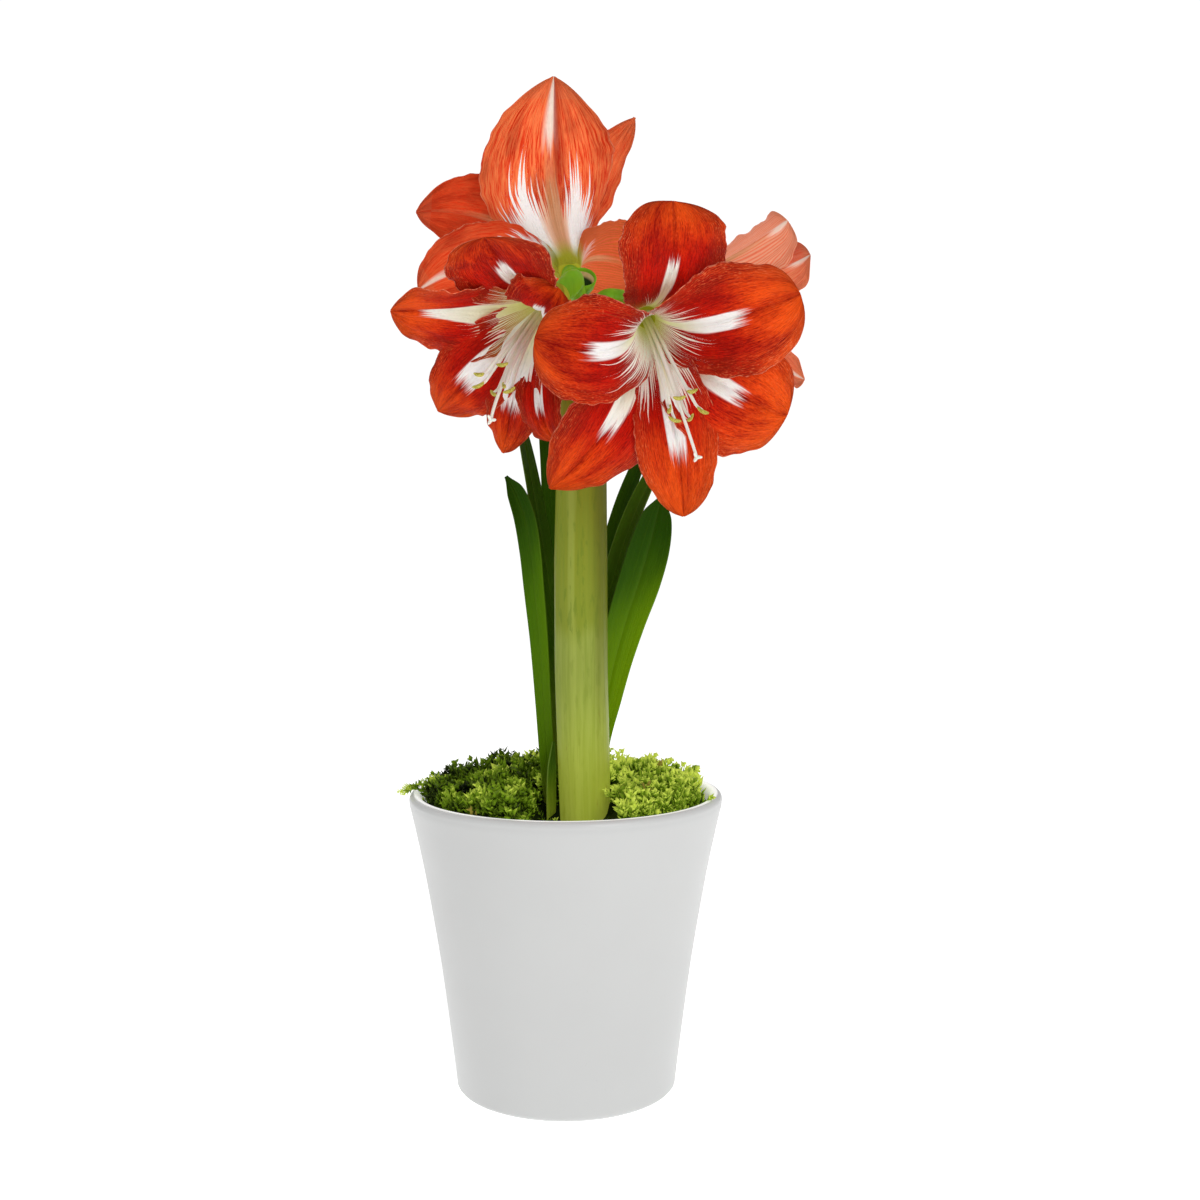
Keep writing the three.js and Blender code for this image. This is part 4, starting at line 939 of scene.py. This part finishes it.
def shoot_template(leaflets):
    """One moss shoot along +X, 1 long: a three-sided strand and leaflets that leave it in three rows, forward.

    The strand rises by the square of the way along it and sways by a sine. Returns points, faces, and how far along
    the shoot each point lies. A leaflet is a thin spindle of six faces.
    """
    def strand_at(t):
        return np.stack([t, 0.05 * np.sin(3 * t), 0.22 * t**2], -1)

    t = np.linspace(0, 1, 5)
    strand = rod(strand_at(t), 0.03 * (1 - 0.7 * t), 3, (0, 1, 0)).reshape(-1, 3)
    quads = bands(5, 3)
    faces = np.concatenate([quads[:, [0, 1, 2]], quads[:, [0, 2, 3]], [[2, 1, 0], [12, 13, 14]]])

    n = np.arange(leaflets)
    place = 0.08 + 0.9 * (n + 0.5) / leaflets
    turn = n * 2.4
    foot = strand_at(place)
    out = np.stack([np.full(leaflets, 0.75), np.cos(turn), 0.75 * np.sin(turn) + 0.15], -1)
    out = unit(out) * (0.34 * np.sqrt(np.sin(math.pi * np.clip(place, 0.12, 0.93))))[:, None]
    flat = unit(np.cross(out, (1.0, 0.2, 0.1)))
    thin = unit(np.cross(out, flat))
    belly = foot + 0.42 * out
    corners = [belly + 0.09 * flat, belly - 0.06 * flat + 0.03 * thin, belly - 0.06 * flat - 0.03 * thin]
    spindles = np.stack([foot] + corners + [foot + out + np.array([0, 0, 0.05])], 1)
    pattern = np.array([[0, 2, 1], [0, 3, 2], [0, 1, 3], [4, 1, 2], [4, 2, 3], [4, 3, 1]])
    more = (len(strand) + 5 * n)[:, None, None] + pattern
    points = np.concatenate([strand, spindles.reshape(-1, 3)])
    along = np.concatenate([np.repeat(t, 3) * 0.8, (place[:, None] * 0.7 + [0, 0.15, 0.15, 0.15, 0.4]).ravel()])
    return points, np.concatenate([faces, more.reshape(-1, 3)]), along


def shoots(skin, feet, aim, lengths, tones, leaflets=11):
    """Adds a shoot at every foot, turned so that its own X lies along its aim, as one block of points."""
    points, faces, along = shoot_template(leaflets)
    aim = unit(aim)
    side = unit(np.cross(np.array([0, 0, 1.0]) + 1e-3, aim))
    up = np.cross(aim, side)
    turn = np.stack([aim, side, up], axis=1)
    placed = feet[:, None] + lengths[:, None, None] * np.einsum("pk,nkj->npj", points, turn)
    shift = (np.arange(len(feet)) * len(points))[:, None, None]
    skin.shell(placed.reshape(-1, 3), [(faces[None] + shift).reshape(-1, 3)],
               tip=np.tile(along, len(feet)), tone=np.repeat(tones, len(points)))


# ------------------------------------------------------------------ operators


class AMARYLLIS_OT_pot(bpy.types.Operator):
    """Make the white pot"""
    bl_idname = "amaryllis.pot"
    bl_label = "Pot"

    def execute(self, context):
        skin = Skin()
        skin.rings(turned(pot_profile(), 192))
        skin.piece("glazed_pot", glaze_material(chosen(context)[1]), "glaze", "pot")
        return {"FINISHED"}


class AMARYLLIS_OT_soil_and_bulb(bpy.types.Operator):
    """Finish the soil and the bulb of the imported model"""
    bl_idname = "amaryllis.soil_and_bulb"
    bl_label = "Soil and bulb"

    def execute(self, context):
        colours = chosen(context)[1]
        dress("soil", soil_material(colours))
        dress("bulb", bulb_material(colours))
        return {"FINISHED"}


class AMARYLLIS_OT_stem(bpy.types.Operator):
    """Make the flower stem with its stalks, ovaries and bracts"""
    bl_idname = "amaryllis.stem"
    bl_label = "Flower stem"

    def execute(self, context):
        skin = Skin("kind", "along")
        self.trunk(skin)
        for bloom in BLOOMS:
            self.stalk(skin, bloom)
        for clock in BRACT_CLOCKS:
            self.bract(skin, math.radians(clock))
        self.collar(skin)
        skin.piece("flower_stem", stem_material(chosen(context)[1]), "stem", "scape")
        return {"FINISHED"}

    def trunk(self, skin):
        """The thick stem: middle and radius run straight between its stations and are then averaged over nine rings.

        Faint ribs, two sines round it, run up it. Over the last 3.5 mm it closes by the square root of what is left.
        """
        stations = np.array(STEM, float)
        z = np.linspace(stations[0, 2], stations[-1, 2], 150)
        line = np.stack([np.interp(z, stations[:, 2], stations[:, k]) for k in (0, 1, 3)], -1)
        line = np.stack([np.convolve(np.pad(column, 4, "edge"), np.ones(9) / 9, "valid") for column in line.T], -1)
        angle = circle(72)
        ribs = 1 + 0.006 * np.sin(9 * angle) + 0.004 * np.sin(23 * angle + 1)
        close = np.sqrt(np.clip((z[-1] - z) / 3.5, 0, 1))
        reach = (line[:, 2] * (0.35 + 0.65 * close))[:, None] * ribs
        grid = np.stack([line[:, :1] + reach * np.cos(angle), line[:, 1:2] + reach * np.sin(angle),
                         np.broadcast_to(z[:, None], reach.shape)], -1)
        skin.rings(grid, along=np.linspace(0, 1, len(z))[:, None])

    def stalk(self, skin, bloom):
        """A round stalk from the stem's crown that swells into a three-lobed ovary behind the petals."""
        forward, up, right, place = bloom_frame(bloom)
        crown = np.array(CROWN, float)
        ovary_foot = place(-15, 0, 0)
        stations = [crown, crown + 0.55 * (ovary_foot - crown) - 2 * forward, ovary_foot, place(-7.5, 0, 0),
                    place(-0.35, 0, 0)]
        path = even(lambda t: through(stations, t), 48)
        t = np.linspace(0, 1, 48)
        radius = 3.8 + 1.8 * smooth(t, 0.45, 0.72) * (1 - 0.35 * smooth(t, 0.8, 1))
        lobes = 1 + 0.06 * np.cos(3 * circle(30))[None, :] * smooth(t, 0.45, 0.7)[:, None]
        skin.rings(rod(path, radius[:, None] * lobes, 30, up), kind=STALK, along=1.0)

    def collar(self, skin):
        """The green ring left of the bud's sheath, a round-edged profile turned about a leaning axis."""
        axis = unit(np.array(COLLAR_AXIS, float))
        side = unit(np.cross(axis, (1.0, 0, 0)))
        grid = turned(COLLAR, 40, COLLAR_PLACE, (side, np.cross(side, axis), axis))
        within_ring = np.arange(len(COLLAR))[:, None] > 5
        skin.rings(grid, kind=np.where(within_ring, RING_INSIDE, STALK), along=1.0)

    def bract(self, skin, clock):
        """A papery strip that leaves the crown, turns down and narrows to its tip, with rolled margins."""
        out = np.array([math.cos(clock), math.sin(clock), 0])
        side = np.array([-math.sin(clock), math.cos(clock), 0])
        crown = np.array(CROWN, float)
        path = [crown + ahead * out + (0, 0, rise) for ahead, rise in ((5.1, 0), (11.9, 2), (16, -14.1), (17, -30))]

        def surface(u, v):
            width = 6.5 * (1 - u) ** 0.7 + 0.6
            v2 = v[None, :, None]
            curl = -1.6 * v2**2 + 0.5 * np.sin(14 * u[:, None, None] + 3 * v2)
            return bezier(path, u)[:, None] + side * width[:, None, None] * v2 + out * curl

        grid = blade(surface, np.linspace(0, 1, 40), np.linspace(-1, 1, 15), np.full((40, 15), 0.5))[0]
        skin.rings(grid, kind=PAPERY, along=1.0)


class AMARYLLIS_OT_leaves(bpy.types.Operator):
    """Make the strap leaves"""
    bl_idname = "amaryllis.leaves"
    bl_label = "Leaves"

    def execute(self, context):
        sizes, colours = chosen(context)
        material = leaf_material(colours)
        u = 1 - (1 - np.linspace(0, 1, 110)) ** 1.25
        v = np.linspace(-1, 1, 25)
        thickness = sizes.leaf_thickness / MM * (1 - 0.6 * np.abs(v) ** 5)[None, :] * (1 - 0.5 * u**6)[:, None]
        for number, leaf in enumerate(LEAVES):
            grid, across, _ = blade(leaf_surface(leaf), u, v, thickness)
            skin = Skin("seed", "pale", "gold")
            skin.rings(grid, across, seed=0.37 * number + 0.2, pale=leaf.pale, gold=leaf.gold)
            skin.piece("strap_" + leaf.name, material, "leaf", leaf.name)
        return {"FINISHED"}


class AMARYLLIS_OT_blooms(bpy.types.Operator):
    """Make the petals of the four blooms"""
    bl_idname = "amaryllis.blooms"
    bl_label = "Blooms"

    def execute(self, context):
        sizes, colours = chosen(context)
        material = petal_material(colours)
        u = 1 - (1 - np.linspace(0, 1, 78)) ** 1.3
        v = np.sin(np.linspace(-1, 1, 43) * math.pi / 2) * 0.35 + np.linspace(-1, 1, 43) * 0.65
        thin = (1 - 0.62 * np.abs(v) ** 4)[None, :] * (1 - 0.45 * u**5)[:, None]
        for bloom in BLOOMS:
            skin = Skin("inside", "seed", "lines", *PETAL_LOOKS)
            for number, petal in enumerate(bloom.petals):
                surface = petal_surface(bloom, petal, sizes.petal_ruffle / MM)
                grid, across, inside = blade(surface, u, v, sizes.petal_thickness / MM * thin)
                skin.rings(grid, across, inside=inside, seed=number * 0.61 + len(bloom.name) * 0.23,
                           lines=LINES_PER_MM * petal.half, **{look: getattr(petal, look) for look in PETAL_LOOKS})
            self.cup(skin, bloom)
            skin.piece("petals_" + bloom.name, material, "petal", "bloom_" + bloom.name)
        return {"FINISHED"}

    def cup(self, skin, bloom):
        """The short tube that joins the petals, a profile turned round the bloom's axis."""
        forward, up, right, place = bloom_frame(bloom)
        grid = turned(CUP, 36, bloom.base, (up, right, forward))
        skin.rings(grid, np.broadcast_to((0.5, 0.02), grid.shape[:2] + (2,)), seed=0.5)


class AMARYLLIS_OT_stamens(bpy.types.Operator):
    """Make the filaments, anthers and styles"""
    bl_idname = "amaryllis.stamens"
    bl_label = "Stamens"

    def execute(self, context):
        sizes, colours = chosen(context)
        material = stamen_material(colours)
        radius = sizes.filament_radius / MM
        for bloom in BLOOMS:
            forward, up, right, place = bloom_frame(bloom)
            skin = Skin("kind", "along")
            peg = np.linspace(place(STAMEN_FOOT, 0, 0), place(STAMEN_FOOT + 3.4, 0, 0), 6)
            skin.rings(rod(peg, np.full(6, 2.5), 18, up))
            for i in range(FILAMENTS):
                share = math.sin((i + 3) * 127.1 + 11.7) * 43758.5453 % 1    # from 0 to 1, another for each
                reach = FILAMENT_REACH * (0.9 + 0.14 * share)
                controls = thread_curve(bloom, TURN * (i + 0.5) / FILAMENTS, 1.5, reach, 5, 1)
                self.filament(skin, controls, radius, up, i)
            self.style(skin, thread_curve(bloom, math.pi, 0.2, STYLE_REACH, 2, 1.5), radius, up)
            skin.piece("filaments_" + bloom.name, material, "stamen", "stamens_" + bloom.name)
        return {"FINISHED"}

    def filament(self, skin, controls, radius, up, number):
        """A tapered thread with an upturned end that carries a curved grain-shaped anther across it."""
        t = np.linspace(0, 1, 44)
        path = bezier(controls, t * 0.95)
        aside = unit(np.cross(path[-1] - path[-4], up))
        path = path + np.outer(2.2 * smooth(t, 0.86, 1), up)
        skin.rings(rod(path, radius * (1 - 0.45 * t), 8, up), along=t[:, None])
        s = np.linspace(-1, 1, 19)
        lean = aside * math.cos(number * 1.9) + unit(path[-1] - path[-4]) * math.sin(number * 1.9) * 0.8
        grain = path[-1] + np.outer(3.1 * s, unit(lean)) + np.outer(0.9 * s * s - 0.2, up)
        skin.rings(rod(grain, 0.95 * np.sqrt(np.maximum(1 - s**2, 0.02)), 9, up), kind=ANTHER, along=1.0)

    def style(self, skin, controls, radius, up):
        """A longer thread that ends in a stigma of three short blunt lobes."""
        t = np.linspace(0, 1, 44)
        path = bezier(controls, t)
        skin.rings(rod(path, radius * (0.85 - 0.25 * t), 8, up), along=t[:, None])
        for clock in np.radians([0, 120, 240]):
            lobe = unit(np.array([math.cos(clock), -0.4, math.sin(clock)]))
            s = np.linspace(0, 1, 9)
            curl = path[-1] + np.outer(2.6 * s, lobe) + np.outer(0.7 * s * s, (0, -1, 0))
            skin.rings(rod(curl, 0.85 * np.sqrt(np.maximum(1 - s**3, 0.03)), 8, (0.1, 0.9, 0.3)), along=1.0)


class AMARYLLIS_OT_moss(bpy.types.Operator):
    """Make the moss cushion and its shoots"""
    bl_idname = "amaryllis.moss"
    bl_label = "Moss"

    def execute(self, context):
        sizes, colours = chosen(context)
        material = moss_material(colours)
        chance = np.random.default_rng(11)
        self.cushion(material)
        count = sizes.moss_shoots
        radius = MOSS_REACH * np.sqrt(chance.random(count))
        angle = TURN * chance.random(count)
        x, y = radius * np.cos(angle), radius * np.sin(angle)
        in_hollow, bank = within(HOLLOW, x, y), moss_height(x, y) > BANK
        bare = in_hollow & bank & (chance.random(count) < 0.94)
        clear = (np.hypot(x - STEM_CLEARING[0], y - STEM_CLEARING[1]) > STEM_CLEARING[2]) & ~bare
        x, y, radius, small = x[clear], y[clear], radius[clear], (in_hollow & ~bank)[clear]
        count = len(x)
        feet = np.stack([x, y, moss_height(x, y) - 2.5 - 1.5 * chance.random(count)], -1)

        heading = 2.2 * np.sin(0.13 * x + 0.09 * y + 1) + 1.7 * np.cos(0.17 * y - 0.08 * x)
        heading = heading + 2.4 * (chance.random(count) - 0.5)
        steep = 0.15 + 0.75 * chance.random(count) ** 1.5
        aim = np.stack([np.cos(heading), np.sin(heading), steep], -1)
        aim[:, 0] = np.where(within(BESIDE_LEAF, x, y), -np.abs(aim[:, 0]), aim[:, 0])
        at_edge = smooth(radius, 60, 71)[:, None]
        aim = aim * (1 - 0.8 * at_edge) + at_edge * np.stack([-0.6 * x / radius, -0.6 * y / radius,
                                                              np.full(count, 0.9)], -1)
        lengths = sizes.moss_shoot_length / MM * (0.55 + 0.8 * chance.random(count) ** 1.5) * np.where(small, 0.5, 1)
        # each shoot's tone differs at random, and the shoots on the left are darker as painted shade
        tones = 0.55 * chance.random(count) + 0.66 * smooth(x, -42, 25) - 0.21
        withered = np.exp(-((np.hypot(x - WITHERED[0], y - WITHERED[1]) / WITHERED[2]) ** 2))
        tones[chance.random(count) < 0.008 + 0.35 * withered] = BROWN
        for name, some in zip(("left", "middle", "right"), np.array_split(np.argsort(x), 3)):
            skin = Skin("tip", "tone")
            shoots(skin, feet[some], aim[some], lengths[some], tones[some])
            if name == "left":
                self.loose_sprig(skin, chance)
            skin.piece("moss_shoots_" + name, material, "moss")
        return {"FINISHED"}

    def cushion(self, material):
        """The ground of the moss: the dome of its height, a little lower than the tips of the shoots."""
        reach = 71.2 * np.linspace(0, 1, 40)[:, None]
        angle = circle(120)[None, :]
        x, y = reach * np.cos(angle), reach * np.sin(angle)
        top = np.stack([x, y, np.maximum(moss_height(x, y) - 3.2, MOSS_BASE + 0.5)], -1)
        rim = top[-1] * [0.985, 0.985, 0] + [0, 0, MOSS_BASE]
        under = rim * [0.02, 0.02, 1]
        skin = Skin("tip", "tone")
        skin.rings(np.concatenate([top, rim[None], under[None]]), tip=0.05, tone=0.3)
        skin.piece("moss_cushion", material, "moss", "moss")

    def loose_sprig(self, skin, chance):
        """The shoots of the strand that lies over the left of the lip, longer and lighter towards its end."""
        t = np.sort(chance.random(SPRIG_SHOOTS)) * 0.93
        feet = through(SPRIG, t)
        aim = unit(through(SPRIG, t + 0.02) - feet) + 0.5 * (chance.random((SPRIG_SHOOTS, 3)) - 0.5)
        shoots(skin, feet, aim, 3.4 + 3.6 * t + 1.5 * chance.random(SPRIG_SHOOTS), 0.3 + 0.7 * t, 9)


# the stage, in metres; name, place, width and power of each lamp
FLOOR_REACH = 8.0
LAMPS = (("key", (0.9, -1.3, 1.1), 0.8, 9.3), ("fill", (-1.1, -1.1, 0.7), 1.2, 1.8),
         ("back", (-0.4, 1.3, 1.2), 0.9, 4.0))
PLANT_MIDDLE = (0, 0, 0.28)       # where they point
CAMERA_PLACE = (0.0174, -0.8, 0.3042)
CAMERA_LENS = 47.4                # focal length in mm, for a sensor 36 mm wide
CAMERA_TILT = 3.91                # degrees down from level


class AMARYLLIS_OT_stage(bpy.types.Operator):
    """Make the floor, the lights, the sky and the camera"""
    bl_idname = "amaryllis.stage"
    bl_label = "Stage"

    def execute(self, context):
        scene = context.scene
        mesh = bpy.data.meshes.new("floor")
        corners = [(x * FLOOR_REACH, y * FLOOR_REACH, 0) for x, y in ((-1, -1), (1, -1), (1, 1), (-1, 1))]
        mesh.from_pydata(corners, [], [(0, 1, 2, 3)])
        mesh.materials.append(Board("floor", Roughness=0.9, Specular_IOR_Level=0.1, Emission_Strength=0.72,
                                    Base_Color=(0.9, 0.9, 0.9, 1), Emission_Color=WHITE + (1,)).owner)
        floor = bpy.data.objects.new("floor", mesh)
        scene.collection.objects.link(floor)

        # the sky lights the scene softly and shows white
        sky = Board("studio", "worlds", Color=WHITE + (1,), Strength=0.38)
        shown = sky.node("Background", None, {"Color": WHITE + (1,), "Strength": 1.05})
        to_camera = sky.node("LightPath").outputs["Is Camera Ray"]
        blend = sky.node("MixShader", None, (to_camera, sky.shader.outputs[0], shown.outputs[0]))
        sky.tree.links.new(blend.outputs[0], sky.tree.nodes["World Output"].inputs[0])
        scene.world = sky.owner
        scene.view_settings.view_transform = "Standard"
        for lamp in LAMPS:
            self.lamp(*lamp)

        camera = bpy.data.objects.new("camera", bpy.data.cameras.new("camera"))
        camera.data.sensor_width = 36
        camera.data.lens = CAMERA_LENS
        camera.location = CAMERA_PLACE
        camera.rotation_euler = (math.radians(90 - CAMERA_TILT), 0, 0)
        scene.collection.objects.link(camera)
        scene.camera = camera
        return {"FINISHED"}

    def lamp(self, name, place, size, power):
        """A square soft light that faces the middle of the plant."""
        light = bpy.data.lights.new(name, "AREA")
        light.shape = "SQUARE"
        light.size = size
        light.energy = power
        lamp = bpy.data.objects.new(name, light)
        lamp.location = place
        x, y, z = np.subtract(place, PLANT_MIDDLE)
        lamp.rotation_euler = (math.atan2(math.hypot(x, y), z), 0, math.atan2(y, x) + math.pi / 2)
        bpy.context.scene.collection.objects.link(lamp)


class AMARYLLIS_PT_pieces(bpy.types.Panel):
    """Lists the pieces, sizes and colours"""
    bl_idname = "AMARYLLIS_PT_pieces"
    bl_label = "Potted amaryllis"
    bl_space_type = "VIEW_3D"
    bl_region_type = "UI"
    bl_category = "Amaryllis"

    def draw(self, context):
        for group in chosen(context):
            for name in group.__annotations__:
                self.layout.prop(group, name)
        for operator in OPERATORS:
            self.layout.operator(operator.bl_idname)


OPERATORS = (AMARYLLIS_OT_stage, AMARYLLIS_OT_pot, AMARYLLIS_OT_soil_and_bulb, AMARYLLIS_OT_moss,
             AMARYLLIS_OT_leaves, AMARYLLIS_OT_stem, AMARYLLIS_OT_blooms, AMARYLLIS_OT_stamens)
CLASSES = (AmaryllisSizes, AmaryllisColours) + OPERATORS + (AMARYLLIS_PT_pieces,)


def register():
    for each in CLASSES:
        bpy.utils.register_class(each)
    bpy.types.Scene.amaryllis_sizes = bpy.props.PointerProperty(type=AmaryllisSizes)
    bpy.types.Scene.amaryllis_colours = bpy.props.PointerProperty(type=AmaryllisColours)


def unregister():
    del bpy.types.Scene.amaryllis_colours
    del bpy.types.Scene.amaryllis_sizes
    for each in reversed(CLASSES):
        bpy.utils.unregister_class(each)


def main():
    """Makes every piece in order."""
    register()
    for operator in OPERATORS:
        group, name = operator.bl_idname.split(".")
        getattr(getattr(bpy.ops, group), name)()


if __name__ == "__main__":
    main()
